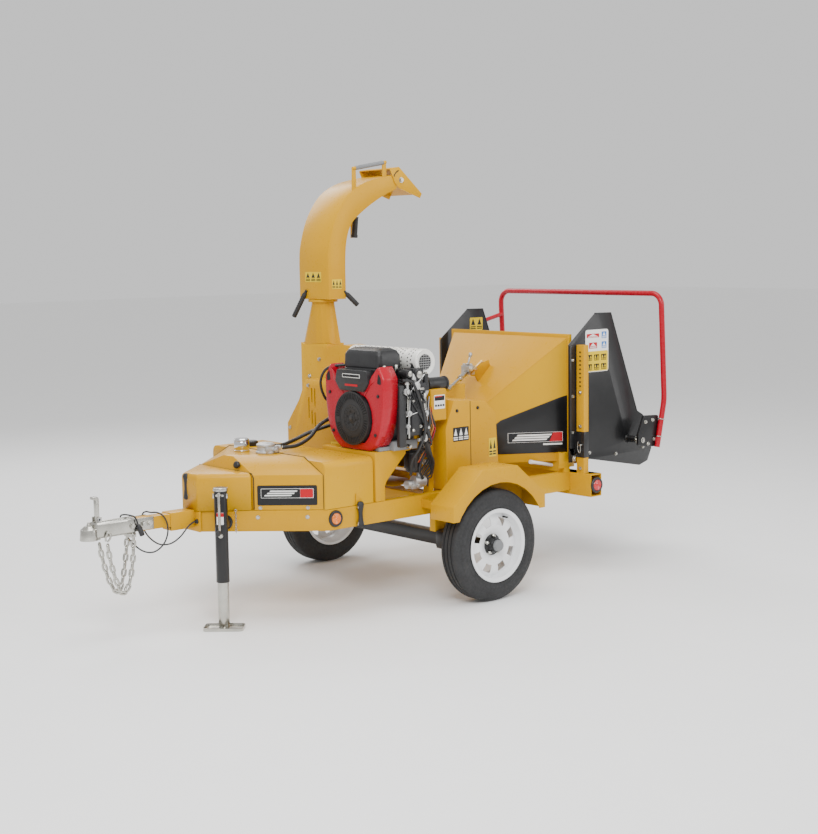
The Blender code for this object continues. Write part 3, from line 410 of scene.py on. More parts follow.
# ---- floor and light ----------------------------------------------------------------
def studio():
    bm = bmesh.new()
    bmesh.ops.create_grid(bm, x_segments=2, y_segments=2, size=40.0)
    mesh = bpy.data.meshes.new("floor")
    bm.to_mesh(mesh)
    bm.free()
    floor = bpy.data.objects.new("floor", mesh)
    bpy.context.scene.collection.objects.link(floor)
    surface("studio_floor", (0.93, 0.93, 0.925), 0.75, vary=0.004, grain=50, bump=0.0)
    mesh.materials.append(MATERIALS["studio_floor"])
    world = bpy.data.worlds.new("studio")
    world.use_nodes = True
    world.node_tree.nodes["Background"].inputs["Color"].default_value = (1.0, 1.0, 1.0, 1.0)
    world.node_tree.nodes["Background"].inputs["Strength"].default_value = 0.85
    bpy.context.scene.world = world
    for name, place, size, power in (("key", (-3.6, -4.2, 4.6), 2.6, 330.0),
                                     ("fill", (3.2, -4.6, 2.8), 3.0, 90.0),
                                     ("back", (1.0, 4.5, 4.2), 3.2, 140.0),
                                     ("top", (-0.4, -0.3, 5.2), 3.0, 150.0)):
        data = bpy.data.lights.new(name, "AREA")
        data.size = size
        data.energy = power
        ob = bpy.data.objects.new(name, data)
        bpy.context.scene.collection.objects.link(ob)
        place = Vector(place)
        ob.location = place
        ob.rotation_euler = (Vector((0, 0, 0.7)) - place).to_track_quat("-Z", "Y").to_euler()


# ---- cord ------------------------------------------------------------------------------
CORD = [
    (-1.2208, -0.049, 0.452), (-1.236, -0.0500, 0.4515), (-1.268, -0.056, 0.436), (-1.310, -0.0575, 0.398),
    (-1.352, -0.0500, 0.374), (-1.392, -0.030, 0.372), (-1.417, 0.000, 0.392), (-1.431, 0.030, 0.425),
    (-1.434, 0.050, 0.463), (-1.431, 0.047, 0.499), (-1.425, 0.028, 0.5125), (-1.416, 0.004, 0.5110),
    (-1.402, -0.022, 0.5120), (-1.385, -0.043, 0.500), (-1.372, -0.054, 0.468), (-1.371, -0.058, 0.430),
    (-1.385, -0.060, 0.392), (-1.410, -0.056, 0.363), (-1.440, -0.043, 0.347), (-1.470, -0.018, 0.352),
    (-1.497, 0.012, 0.380), (-1.520, 0.040, 0.425), (-1.535, 0.050, 0.470), (-1.541, 0.042, 0.505),
    (-1.540, 0.015, 0.5155), (-1.530, -0.015, 0.5155), (-1.518, -0.039, 0.508), (-1.510, -0.0485, 0.478),
]
CORD_R = 0.0035


def cord():
    route = smooth_path([W(*p) for p in CORD], 156)
    curve = bpy.data.curves.new("lead", "CURVE")
    curve.dimensions = "3D"
    curve.bevel_depth = CORD_R
    curve.bevel_resolution = 4
    curve.use_fill_caps = True
    curve.render_resolution_u = 0
    spline = curve.splines.new("POLY")
    spline.points.add(len(route) - 1)
    for point, place in zip(spline.points, route):
        point.co = (*place, 1.0)
    lead = bpy.data.objects.new("lead", curve)
    curve.materials.append(MATERIALS["cable_rubber"])
    bpy.context.scene.collection.objects.link(lead)
    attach(lead, "chassis")
    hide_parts("trailer_cord")
    way = (route[-1] - route[-2]).normalized()
    tip = route[-1] + way * 0.0003
    parts = [rod(tip, tip + way * 0.016, 0.0065, 24, 0.0100),
             rod(tip + way * 0.014, tip + way * 0.020, 0.0125, 28, 0.0125),
             rod(tip + way * 0.0205, tip + way * 0.050, 0.0118, 28, 0.0110),
             rod(tip + way * 0.046, tip + way * 0.052, 0.0108, 28, 0.0085)]
    plug = finish_mesh("plug_body", join(*parts), "cable_rubber", "chassis", 0.0008)
    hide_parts("trailer_plug")
    grommet = refine("cord_grommet", "grip_rubber", 0.0006)


# ---- running gear ----------------------------------------------------------------------
def wheel(side, s):
    body = "wheel_" + side
    lo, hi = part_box("tyre_" + side)
    hub = (lo + hi) / 2
    half = (hi.y - lo.y) / 2
    r = (hi.z - lo.z) / 2
    out = Vector((0, s, 0))
    section = [(0.158, -0.050), (0.166, -0.0545), (0.174, -0.0570), (0.190, -0.0595), (0.205, -half),
               (0.218, -0.0600), (0.234, -0.0570), (0.247, -0.0520), (0.254, -0.0470), (r - 0.0022, -0.0410),
               (r - 0.0004, -0.0340), (r, -0.0260), (r - 0.008, -0.0252), (r - 0.008, -0.0205), (r, -0.0198),
               (r, -0.0032), (r - 0.008, -0.0024)]
    section = section + [(q, -h) for q, h in section[::-1]]
    tyre = finish_mesh("tyre_" + side + "_tread", lathe(section, hub, out, 96), "tyre_rubber", body, angle=28)
    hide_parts("tyre_" + side)
    # Painted shade: thin near-black boxes just under the tread stand in for the shade in the sipes.
    lugs = []
    for i in range(60):
        a = 2 * math.pi * i / 60
        for sign in (-1, 1):
            turn = Matrix.Translation(hub) @ Matrix.Rotation(a + sign * 0.02, 4, "Y")
            sipe = bmesh.new()
            bmesh.ops.create_cube(sipe, size=1.0)
            lay = Matrix.Translation((0, sign * 0.0300, r - 0.0035)) @ Matrix.Rotation(0.35 * sign, 4, "Z")
            bmesh.ops.transform(sipe, matrix=turn @ lay @ Matrix.Diagonal((0.0022, 0.0075, 0.0064, 1)),
                                verts=sipe.verts)
            lugs.append(sipe)
    finish_mesh("tyre_" + side + "_sipes", join(*lugs), "painted_shade", body)
    rings = []
    for q, h in ((0.196, 0.0598), (0.226, 0.0582)):
        rings.append(lathe([(q - 0.0018, h - 0.002), (q + 0.0018, h - 0.002), (q + 0.0012, h + 0.0010),
                            (q - 0.0012, h + 0.0010)], hub, out, 72))
    finish_mesh("tyre_" + side + "_beads", join(*rings), "tyre_rubber", body)
    wheel_disc(side, hub, out, body)


def wheel_disc(side, hub, out, body):
    """Pressed white wheel: a dished disc with a ring of windows, inside a rolled rim."""
    barrel = [(0.1572, -0.058), (0.170, -0.0585), (0.1712, -0.0605), (0.170, -0.0640), (0.166, -0.0640),
              (0.158, -0.0625), (0.1515, -0.052), (0.1500, -0.030), (0.1450, -0.020), (0.1450, 0.030),
              (0.1500, 0.044), (0.1530, 0.0600), (0.166, 0.0640), (0.1700, 0.0640), (0.1712, 0.0605),
              (0.170, 0.0585), (0.1572, 0.0580)]
    white = [lathe(barrel, hub, out, 72)]
    u, v, w = frame_of(out)
    count = 8
    steps = 12
    radii = [0.047, 0.060, 0.078, 0.094, 0.108, 0.118, 0.131, 0.146]
    depth = [0.020, 0.026, 0.034, 0.037, 0.037, 0.036, 0.032, 0.026]
    disc = bmesh.new()
    grid = []
    for layer in (0.0, -0.0035):
        rows = []
        for q, h in zip(radii, depth):
            rows.append([disc.verts.new(hub + q * (math.cos(t) * u + math.sin(t) * v) + (h + layer) * w)
                         for t in (2 * math.pi * i / (count * steps) for i in range(count * steps))])
        grid.append(rows)
    total = count * steps
    window = {(a, b) for a in (3, 4, 5) for b in range(3, 9)}
    for i in range(len(radii) - 1):
        for j in range(total):
            k = (j + 1) % total
            key = (i, j % steps)
            if key in window:
                continue
            top, low = grid
            disc.faces.new((top[i][j], top[i][k], top[i + 1][k], top[i + 1][j]))
            disc.faces.new((low[i][j], low[i + 1][j], low[i + 1][k], low[i][k]))
            for (ni, nj), edge in (((i + 1, j), (i + 1, j, i + 1, k)), ((i - 1, j), (i, j, i, k)),
                                   ((i, j + 1), (i, k, i + 1, k)), ((i, j - 1), (i, j, i + 1, j))):
                outside = ni < 0 or ni >= len(radii) - 1
                if outside or (ni, nj % steps) in window:
                    a, b, c, d = edge
                    disc.faces.new((top[a][b], top[c][d], low[c][d], low[a][b]))
    white.append(disc)
    ob = finish_mesh("rim_" + side + "_disc", join(*white), "white_enamel", body, angle=35)
    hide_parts("rim_" + side)
    hubcap = lathe([(0.0, 0.014), (0.052, 0.014), (0.052, 0.021), (0.036, 0.026), (0.033, 0.052),
                    (0.030, 0.055), (0.0, 0.055)], hub, out, 48)
    finish_mesh("hub_" + side, hubcap, "black_enamel", body, 0.001)
    cap = lathe([(0.0, 0.053), (0.0265, 0.053), (0.0265, 0.068), (0.0235, 0.0735), (0.012, 0.0765),
                 (0.0, 0.077)],
                hub, out, 40)
    finish_mesh("hub_cap_" + side, cap, "grey_enamel", body, 0.0008)
    studs = [hub + 0.0425 * (math.cos(t) * u + math.sin(t) * v) + 0.022 * w
             for t in (2 * math.pi * i / 5 + 0.3 for i in range(5))]
    nuts = [join(lathe([(0.0, 0.0), (0.0095, 0.0), (0.0095, 0.012), (0.006, 0.017), (0.0, 0.017)], p, out, 6),
                 rod(p, p + out * 0.021, 0.0042, 14)) for p in studs]
    finish_mesh("wheel_nuts_" + side, join(*nuts), "zinc_plate", body, 0.0005)
    stem = hub + 0.138 * (math.cos(1.1) * u + math.sin(1.1) * v) + 0.030 * w
    finish_mesh("valve_" + side, join(rod(stem, stem + out * 0.022, 0.0045, 16, 0.0035),
                                      rod(stem + out * 0.020, stem + out * 0.030, 0.0045, 12)),
                "grip_rubber", body)


def fender_detail(side, s):
    """Folded lip along the outer edge and the bracket bolts."""
    y = s * 0.6965
    arch = [(-0.290, 0.409), (-0.290, 0.4735), (-0.109, 0.6225), (0.109, 0.6225), (0.290, 0.4735),
            (0.290, 0.409)]
    spots = [W(x, s * 0.5425, 0.46) for x in (-0.245, -0.225, 0.225, 0.245)]
    bolts("fender_bolts_" + side, spots, (0, -s, 0), "chassis", 0.012, 0.007)
    bead = tube([W(x, y, z) for x, z in rounded(arch, 0.02, 6)[6:-6]], 0.0014, 10)
    finish_mesh("fender_hem_" + side, bead, "yellow_enamel", "chassis")


def chain_link(centre, along, face, length=0.040, width=0.0255, wire=0.0052):
    """One oval link: two half circles joined by straights."""
    a = Vector(along).normalized()
    n = Vector(face).normalized()
    n = (n - a * n.dot(a)).normalized()
    half = (length - width) / 2
    path = []
    for end in (1, -1):
        for i in range(9):
            t = -math.pi / 2 + math.pi * i / 8
            path.append(Vector(centre) + end * (a * (half + (width / 2 - wire) * math.cos(t))
                                                + n * (width / 2 - wire) * math.sin(t)))
    rings = []
    side = a.cross(n)
    for i, p in enumerate(path):
        t = (path[(i + 1) % len(path)] - path[i - 1]).normalized()
        o = t.cross(side)
        rings.append([p + wire * (math.cos(2 * math.pi * j / 8) * o + math.sin(2 * math.pi * j / 8) * side)
                      for j in range(8)])
    return loft(rings, close=True)


def chains():
    links = []
    for y in (-0.022, 0.022):
        shift = 0.005 if y < 0 else -0.005
        path = smooth_path([W(-1.653 + shift, 1.22 * y, 0.424), W(-1.640 + shift, 1.1 * y, 0.34),
                            W(-1.612 + shift, y, 0.240), W(-1.580 + shift * 0.4, y, 0.188),
                            W(-1.550 + shift, y, 0.230), W(-1.530 + shift, y, 0.33),
                            W(-1.521 + shift * 0.3, y, 0.426)], 220)
        gone = 0.0
        place = 0
        pitch = 0.0300
        for a, b in zip(path, path[1:]):
            gone += (b - a).length
            if gone >= pitch:
                gone = 0.0
                tangent = b - a
                spin = math.pi / 4 + math.pi / 2 * (place % 2)
                u, v = frame_of(tangent)[:2]
                links.append(chain_link(b, tangent, math.cos(spin) * u + math.sin(spin) * v))
                place += 1
    hook = smooth_path([W(-1.655, -0.028, 0.424), W(-1.660, -0.038, 0.442), W(-1.652, -0.043, 0.462),
                        W(-1.640, -0.044, 0.452), W(-1.642, -0.042, 0.434), W(-1.650, -0.034, 0.420)], 24)
    links.append(tube(hook, 0.0042, 10))
    links.append(tube([Vector((p.x, -p.y, p.z)) for p in hook], 0.0042, 10))
    links.append(block(-1.534, -1.509, -0.029, 0.029, 0.421, 0.4370))
    ob = finish_mesh("chain_links", join(*links), "zinc_plate", "chassis", angle=50)
    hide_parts("safety_chains")


def coupler():
    refine("coupler", "zinc_plate", 0.0030, 3, 50)
    refine("coupler_latch", "zinc_plate", 0.0020, 3)
    refine("tongue", "yellow_enamel", 0.0035, 3)
    for s, name in ((-1, "near"), (1, "far")):
        bolts("coupler_bolts_" + name, [W(-1.53, s * 0.0347, 0.472), W(-1.475, s * 0.0347, 0.474),
                                        W(-1.445, s * 0.0347, 0.474)], (0, s, 0), "chassis", 0.019, 0.011)
    pivot = join(rod(W(-1.677, -0.0225, 0.516), W(-1.677, 0.0225, 0.516), 0.0045, 16),
                 rod(W(-1.677, -0.0225, 0.516), W(-1.677, -0.0190, 0.516), 0.0080, 16),
                 rod(W(-1.677, 0.0190, 0.516), W(-1.677, 0.0225, 0.516), 0.0080, 16))
    finish_mesh("latch_pin", pivot, "machined_steel", "chassis")
    ridge = join(rod(W(-1.66, 0, 0.5025), W(-1.52, 0, 0.5025), 0.006, 16),
                 rod(W(-1.716, 0, 0.484), W(-1.716, 0, 0.500), 0.0105, 20, 0.0085),
                 rod(W(-1.716, 0, 0.499), W(-1.716, 0, 0.507), 0.0075, 6))
    finish_mesh("coupler_top", ridge, "zinc_plate", "chassis", 0.0008)
    grip = join(rod(W(-1.677, -0.0135, 0.580), W(-1.677, 0.0135, 0.580), 0.0060, 18),
                block(-1.6855, -1.6690, -0.0100, 0.0100, 0.560, 0.596))
    finish_mesh("latch_grip", grip, "zinc_plate", "coupler_latch", 0.0025)


# ---- chute ---------------------------------------------------------------------------------
def chute_outline(inset):
    """Side view of the elbow: the outer sweep out to the mouth and the inner one back."""
    outer = [(-0.200, 1.378), (-0.200, 1.470), (-0.200, 1.560), (-0.193, 1.640), (-0.160, 1.750),
             (-0.109, 1.840), (-0.044, 1.907), (0.061, 1.957), (0.240, 1.995)]
    inner = [(0.250, 1.925), (0.137, 1.876), (0.025, 1.810), (-0.048, 1.748), (-0.081, 1.670),
             (-0.092, 1.570), (-0.093, 1.470), (-0.093, 1.378)]
    runs = []
    for points in (outer, inner):
        path = smooth_path([(x, 0, z) for x, z in points], 40)
        run = []
        for i, p in enumerate(path):
            t = (path[min(i + 1, 40)] - path[max(i - 1, 0)]).normalized()
            run.append((p.x + t.z * inset, p.z - t.x * inset))
        runs.append(run)
    return runs


def chute():
    wall = 0.005
    y0, y1 = 0.290, 0.527
    outer, inner = chute_outline(0.0)
    top, low = chute_outline(wall)
    rings = []
    for a, b, c, d in zip(outer, inner[::-1], top, low[::-1]):
        rings.append(([W(a[0], y0, a[1]), W(a[0], y1, a[1]), W(b[0], y1, b[1]), W(b[0], y0, b[1])],
                      [W(c[0], y0 + wall, c[1]), W(c[0], y1 - wall, c[1]), W(d[0], y1 - wall, d[1]),
                       W(d[0], y0 + wall, d[1])]))
    bm = bmesh.new()
    rows = [([bm.verts.new(p) for p in o], [bm.verts.new(p) for p in i]) for o, i in rings]
    for (o0, i0), (o1, i1) in zip(rows, rows[1:]):
        for j in range(4):
            k = (j + 1) % 4
            bm.faces.new((o0[j], o0[k], o1[k], o1[j]))
            bm.faces.new((i0[j], i1[j], i1[k], i0[k]))
    for o, i in (rows[0], rows[-1]):
        for j in range(4):
            k = (j + 1) % 4
            bm.faces.new((o[j], i[j], i[k], o[k]))
    ob = finish_mesh("chute_shell", bm, "yellow_enamel", "chute", 0.0016, 40)
    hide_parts("chute_elbow")
    collar = prism(rounded([(-0.2005, 0.2895), (-0.0925, 0.2895), (-0.0925, 0.5275), (-0.2005, 0.5275)],
                           0.006), "z",
                   1.3785, 1.3850)
    finish_mesh("chute_base_plate", collar, "yellow_enamel", "chute", 0.001)
    rings = join(lathe([(0.048, 0.0), (0.0535, 0.0), (0.0535, 0.012), (0.048, 0.012)],
                       W(-0.1465, 0.4085, 1.385),
                       (0, 0, 1), 40))
    finish_mesh("chute_spigot", rings, "machined_steel", "chute")
    grips = [((-0.203, 0.471, 1.417), (-0.232, 0.540, 1.288)),
             ((-0.098, 0.294, 1.413), (-0.035, 0.270, 1.345)),
             ]
    for i, (a, b) in enumerate(grips):
        a = W(*a)
        b = W(*b)
        d = (b - a).normalized()
        stalk = rod(a - d * 0.006, a + d * 0.02, 0.0075, 18)
        finish_mesh("swivel_stalk_%d" % i, stalk, "black_enamel", "chute")
        profile = [(0.0, 0.012), (0.0095, 0.012), (0.0110, 0.016)]
        length = (b - a).length
        for k in range(9):
            h = 0.020 + (length - 0.034) * k / 9
            step = (length - 0.034) / 9
            profile += [(0.0125, h + step * 0.2), (0.0125, h + step * 0.6), (0.0112, h + step * 0.8)]
        profile += [(0.0125, length - 0.010), (0.0115, length - 0.002), (0.0, length)]
        finish_mesh("swivel_grip_%d" % i, lathe(profile, a, d, 28), "grip_rubber", "chute", angle=60)
    chute_handle()
    chute_labels()


def chute_handle():
    for i, (x, z0, z1) in enumerate(((-0.026, 1.905, 2.025), (0.170, 1.972, 2.060))):
        shape = rounded([(x - 0.013, z0), (x + 0.013, z0 + 0.004), (x + 0.011, z1), (x - 0.011, z1)], 0.009)
        finish_mesh("handle_lug_%d" % i, prism(shape, "y", 0.2910, 0.2980), "yellow_enamel", "chute", 0.001)
    a = W(-0.034, 0.2945, 2.018)
    b = W(0.182, 0.2945, 2.055)
    d = (b - a).normalized()
    ends = join(rod(a, a + d * 0.022, 0.0085, 24), rod(b - d * 0.022, b, 0.0085, 24))
    finish_mesh("handle_ends", ends, "yellow_enamel", "chute", 0.001)
    profile = [(0.0, 0.018), (0.0095, 0.018)]
    length = (b - a).length
    for k in range(26):
        h = 0.020 + (length - 0.042) * k / 26
        profile += [(0.0110, h), (0.0110, h + 0.0034), (0.0102, h + 0.0044)]
    profile += [(0.0095, length - 0.018), (0.0, length - 0.018)]
    finish_mesh("handle_sleeve", lathe(profile, a, d, 32), "grey_enamel", "chute", angle=60)


def chute_labels():
    label("chute_label_front", W(-0.2006, 0.4780, 1.463), (0, -1, 0), (0, 0, 1), 0.130, 0.050, "label_yellow",
          "chute", 3)
    label("chute_label_side", W(-0.1800, 0.2894, 1.429), (1, 0, 0), (0, 0, 1), 0.062, 0.047, "label_yellow",
          "chute", 3)
    grip = [(0.0, 0.0), (0.0155, 0.0), (0.0170, 0.004), (0.0170, 0.012), (0.0145, 0.018), (0.0145, 0.098),
            (0.0165, 0.104), (0.0, 0.105)]
    finish_mesh("lever_grip", lathe(grip, W(0.062, 0.4085, 1.680), (0.10, 0, 1.0), 32), "grip_rubber",
                "chute", 0.0008, 50)


def label(name, corner, right, up, width, height, finish, body, bars=0, ink="label_black"):
    """A thin sticker with plain bars and a triangle where a real one has its print."""
    r = Vector(right).normalized()
    u = Vector(up).normalized()
    n = r.cross(u)
    c = Vector(corner)
    film = 0.0003
    corners = rounded([(0, 0), (width, 0), (width, height), (0, height)], min(width, height) * 0.08, 4)
    base = [c + r * x + u * y for x, y in corners]
    finish_mesh(name, loft([base, [p + n * film for p in base]]), finish, body)
    if not bars:
        return
    marks = []
    for i in range(bars):
        x0 = width * (i + 0.10) / bars
        x1 = width * (i + 0.90) / bars
        mid = (x0 + x1) / 2
        y0 = height * 0.42
        tri = [(x0 + 0.1 * (x1 - x0), y0), (x1 - 0.1 * (x1 - x0), y0), (mid, height * 0.92)]
        flat = [c + n * film + r * x + u * y for x, y in tri]
        marks.append(loft([flat, [p + n * film for p in flat]]))
        for y in (0.10, 0.24):
            box = [(x0, height * y), (x1, height * y), (x1, height * (y + 0.08)), (x0, height * (y + 0.08))]
            flat = [c + n * film + r * x + u * y for x, y in box]
            marks.append(loft([flat, [p + n * film for p in flat]]))
    finish_mesh(name + "_print", join(*marks), ink, body)


def deflector():
    refine("chute_deflector", "yellow_enamel", 0.0012)
    for s, y in ((-1, 0.2845), (1, 0.5325)):
        spot = W(0.273, y, 1.967)
        bolts("deflector_pivot_%s" % ("near" if s < 0 else "far"), [spot], (0, s, 0), "chute_deflector",
              0.019, 0.011)
        # Painted shade: a dark bar along the arc stands in for the shaded opening of the slot.
        arc = [W(0.273 + 0.050 * math.cos(t), y + s * 0.0002, 1.967 + 0.050 * math.sin(t))
               for t in (1.9 + 0.9 * i / 8 for i in range(9))]
        finish_mesh("deflector_slot_%s" % ("near" if s < 0 else "far"), tube(arc, 0.0028, 8), "painted_shade",
                    "chute_deflector")


# ---- nose: jack, covers and tanks ------------------------------------------------------------
ALONG = Vector((0.733172, -0.680043, 0.0))      # the near rail's nose, front to back
OUT = Vector((-0.680043, -0.733172, 0.0))       # away from that rail's outer face
UP = Vector((0, 0, 1))


def rail_point(distance, z, proud=0.0):
    """A point on the near rail's slanting outer face."""
    return W(-1.204, -0.056, z) + ALONG * distance + OUT * proud


def jack():
    c = rail_point(0.1107, 0.0) + OUT * 0.114
    pieces = join(lathe([(0.0248, 0.207), (0.0285, 0.2075), (0.0285, 0.600), (0.0248, 0.600)], c, UP, 48),
                  lathe([(0.0, 0.598), (0.0300, 0.600), (0.0300, 0.612), (0.027, 0.6188), (0.0, 0.6190)], c,
                        UP, 48),
                  rod(c + UP * 0.45 + OUT * -0.104, c + UP * 0.45 + OUT * -0.024, 0.026, 32),
                  rod(c + UP * 0.45 + OUT * -0.1035, c + UP * 0.45 + OUT * -0.094, 0.034, 32))
    top = lathe([(0.0, 0.6195), (0.0315, 0.6195), (0.0325, 0.6170), (0.0325, 0.6060), (0.0305, 0.6060),
                 (0.0305, 0.6165), (0.0, 0.6165)], c - UP * 0.0008, UP, 48)
    finish_mesh("jack_cap", top, "zinc_plate", "jack", 0.0006)
    shell = finish_mesh("jack_shell", pieces, "black_enamel", "jack", 0.0008)
    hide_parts("jack_tube")
    leg = [(0.0, 0.008), (0.0243, 0.008), (0.0243, 0.3345), (0.0, 0.335)]
    tray = rounded([(-0.0870, -0.0495), (0.0870, -0.0495), (0.0870, 0.0495), (-0.0870, 0.0495)], 0.022, 8)
    inner = [(u * 0.965, v * 0.935) for u, v in tray]
    rows = [[c + ALONG * u + OUT * v + UP * z for u, v in ring_2d]
            for ring_2d, z in ((tray, 0.0), (tray, 0.0138), (inner, 0.0140), (inner, 0.0035))]
    foot = finish_mesh("jack_foot_and_leg", join(lathe(leg, c, UP, 48), loft(rows)), "zinc_plate",
                       "jack_leg", 0.0008)
    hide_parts("jack_leg")
    hub = c + UP * 0.595
    arm = hub + OUT * 0.050
    crank = join(rod(hub + OUT * 0.0288, hub + OUT * 0.054, 0.0085, 28),
                 tube([arm + UP * 0.004, arm - UP * 0.06, arm - UP * 0.150, arm - UP * 0.160 + OUT * 0.006,
                       arm - UP * 0.161 + OUT * 0.020], 0.0056, 16))
    ob = finish_mesh("jack_handle", crank, "zinc_plate", "jack_crank", 0.0008)
    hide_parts("jack_crank")
    knob = lathe([(0.0, 0.012), (0.0085, 0.012), (0.0110, 0.018), (0.0104, 0.036), (0.0110, 0.050),
                  (0.0085, 0.0545),
                  (0.0, 0.055)], arm - UP * 0.160, OUT, 28)
    finish_mesh("jack_knob", knob, "grip_rubber", "jack_crank", angle=50)
    cap_bolts = [c + UP * 0.588 + OUT * 0.0280 + ALONG * s * 0.012 for s in (-1, 1)]
    bolts("jack_cap_bolts", cap_bolts, OUT, "jack", 0.008, 0.005)
    tag = c + UP * 0.462 + OUT * 0.0287 - ALONG * 0.0150
    label("jack_tag", tag, ALONG, UP, 0.030, 0.052, "label_white", "jack")
    label("jack_tag_top", tag + UP * 0.034 + OUT * 0.0004, ALONG, UP, 0.030, 0.017, "label_red", "jack")
    bolts("jack_bolt", [c + UP * 0.414 + OUT * 0.0286], OUT, "jack", 0.014, 0.010)
    sides = [c + UP * 0.584 + ALONG * s * 0.0288 for s in (-1, 1)]
    clips = join(*[plate_box(p + OUT * 0.004, ALONG, OUT, 0.0035, 0.010, 0.012) for p in sides])
    finish_mesh("jack_clips", clips, "zinc_plate", "jack", 0.0008)
    links = [chain_link(rail_point(0.158, 0.500 - 0.0105 * i, 0.012), -UP, OUT if i % 2 else ALONG, 0.014,
                        0.009,
                        0.0013) for i in range(10)]
    finish_mesh("jack_pin_chain", join(*links), "zinc_plate", "chassis", angle=60)


def lamps():
    for side, s in (("left", -1), ("right", 1)):
        for node, x, z, face, r, finish in (("side_marker_", -0.757, 0.455, 0.440, 0.037, "amber_plastic"),
                                            ("tail_light_", 0.779, 0.441, 0.580, 0.040, "ruby_plastic")):
            c = W(x, s * (face + 0.0003), z)
            out = Vector((0, s, 0))
            bezel = lathe([(r * 0.66, 0.0), (r, 0.0), (r, 0.005), (r * 0.94, 0.0088), (r * 0.72, 0.0095),
                           (r * 0.66, 0.0075)], c, out, 56)
            holder = finish_mesh(node + side + "_bezel", bezel, "moulded_black", "chassis")
            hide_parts(node + side)
            profile = [(0.0, 0.001), (r * 0.665, 0.001), (r * 0.665, 0.0085)]
            for k in range(5):
                q = r * (0.62 - 0.11 * k)
                profile += [(q, 0.0107), (q - r * 0.05, 0.0098)]
            profile += [(r * 0.05, 0.0122), (0.0, 0.0124)]
            finish_mesh(node + side + "_lens", lathe(profile, c, out, 56), finish, "chassis", angle=20)


def tanks():
    battery_lid()
    refine("hydraulic_tank", "yellow_enamel", 0.0065, 3)
    fuel_tank()
    refine("rail_left", "yellow_enamel", 0.0035, 3)
    refine("rail_right", "yellow_enamel", 0.0035, 3)
    # Painted shade: dark tubes along the seams between the tanks and the nose cover stand in for the shade in
    # those gaps.
    edge = [W(-0.8064, -0.4250, 0.502), W(-0.8064, -0.4250, 0.650), W(-0.8064, -0.2920, 0.7165),
            W(-0.8064, 0.2920, 0.7165), W(-0.8064, 0.4250, 0.650), W(-0.8064, 0.4250, 0.502)]
    finish_mesh("tank_seam_shade_middle", tube(edge, 0.0021, 8), "painted_shade", "chassis")
    nose = [W(-1.0310, -0.2185, 0.502), W(-1.0310, -0.2185, 0.640), W(-1.0310, -0.206, 0.6585),
            W(-1.0310, 0.206, 0.6585), W(-1.0310, 0.2185, 0.640), W(-1.0310, 0.2185, 0.502)]
    finish_mesh("tank_seam_shade_front", tube(nose, 0.0022, 8), "painted_shade", "chassis")
    start = W(-1.0295, -0.2155, 0.0)
    run = (W(-0.8065, -0.4245, 0.0) - start).normalized()
    side_out = run.cross(UP)
    panel = start + run * 0.016 + side_out * 0.0006
    label("tank_panel", panel + UP * 0.519, run, UP, 0.262, 0.088, "label_black", "chassis")
    label("tank_panel_line", panel + UP * 0.5510 + side_out * 0.0004 + run * 0.016, run, UP, 0.230, 0.042,
          "label_white", "chassis")
    label("tank_panel_field", panel + UP * 0.5525 + side_out * 0.0008 + run * 0.0175, run, UP, 0.170, 0.039,
          "label_black", "chassis")
    label("tank_panel_band", panel + UP * 0.5525 + side_out * 0.0008 + run * 0.188, run, UP, 0.0565, 0.039,
          "label_red", "chassis")
    stripes = []
    for i in range(3):
        a = panel + UP * (0.5600 + 0.0095 * i) + side_out * 0.0012 + run * (0.030 + 0.012 * i)
        base = [a, a + run * 0.118, a + run * 0.122 + UP * 0.0055, a + run * 0.004 + UP * 0.0055]
        stripes.append(loft([base, [p + side_out * 0.0003 for p in base]]))
    finish_mesh("tank_panel_stripes", join(*stripes), "label_white", "chassis")
    low = [start + run * d + UP * 0.508 for d in (0.028, 0.236)]
    bolts("tank_bolts", low, side_out, "chassis", 0.011, 0.007)
    rail_bolts = [rail_point(d, 0.467) for d in (0.075, 0.253, 0.470)]
    bolts("rail_bolts", rail_bolts, OUT, "chassis", 0.012, 0.006)
    knob = W(-1.0225, -0.105, 0.6830)
    front = Vector((-0.95, -0.05, 0.30)).normalized()
    turned = lathe([(0.0, 0.0), (0.006, 0.0), (0.006, 0.010), (0.0165, 0.012), (0.0165, 0.024),
                    (0.013, 0.0275),
                    (0.0, 0.028)], knob, front, 12)
    finish_mesh("cover_knob", turned, "moulded_black", "chassis", 0.0015)
    draw_latch("cover_latch", W(-1.2042, 0.029, 0.598), Vector((0, -1, 0)), Vector((-1, 0, 0)))
    draw_latch("tray_latch", W(-0.625, -0.4405, 0.458), Vector((1, 0, 0)), Vector((0, -1, 0)))
    hook = rounded([(-0.640, 0.500), (-0.612, 0.500), (-0.612, 0.528), (-0.628, 0.536), (-0.640, 0.556)],
                   0.004, 4)
    finish_mesh("latch_hook", prism(hook, "y", -0.4440, -0.4385), "yellow_enamel", "chassis", 0.001)


def battery_lid():
    """Folded nose cover, open below, its corners pressed round."""
    rows = []
    for x, y, z, r in ((-1.2200, 0.0600, 0.4990, 0.010), (-1.2200, 0.0600, 0.6370, 0.010),
                       (-1.2188, 0.0585, 0.6460, 0.010), (-1.2150, 0.0545, 0.6535, 0.010),
                       (-1.2090, 0.0490, 0.6583, 0.010), (-1.2020, 0.0430, 0.6600, 0.010)):
        rear = 0.217 - (0.0600 - y) * 1.0
        shape = [(x, -y), (-1.0325, -rear), (-1.0325, rear), (x, y)]
        front = rounded(shape, r, 5)
        rows.append([W(a, b, z) for a, b in front])
    bm = loft(rows)
    bm.faces.ensure_lookup_table()
    floor = [f for f in bm.faces if max(v.co.z for v in f.verts) < 0.500]
    bmesh.ops.delete(bm, geom=floor, context="FACES_ONLY")
    ob = finish_mesh("cover_shell", bm, "yellow_enamel", "battery_cover", angle=40)
    wall(ob, 0.0022)
    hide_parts("battery_cover")


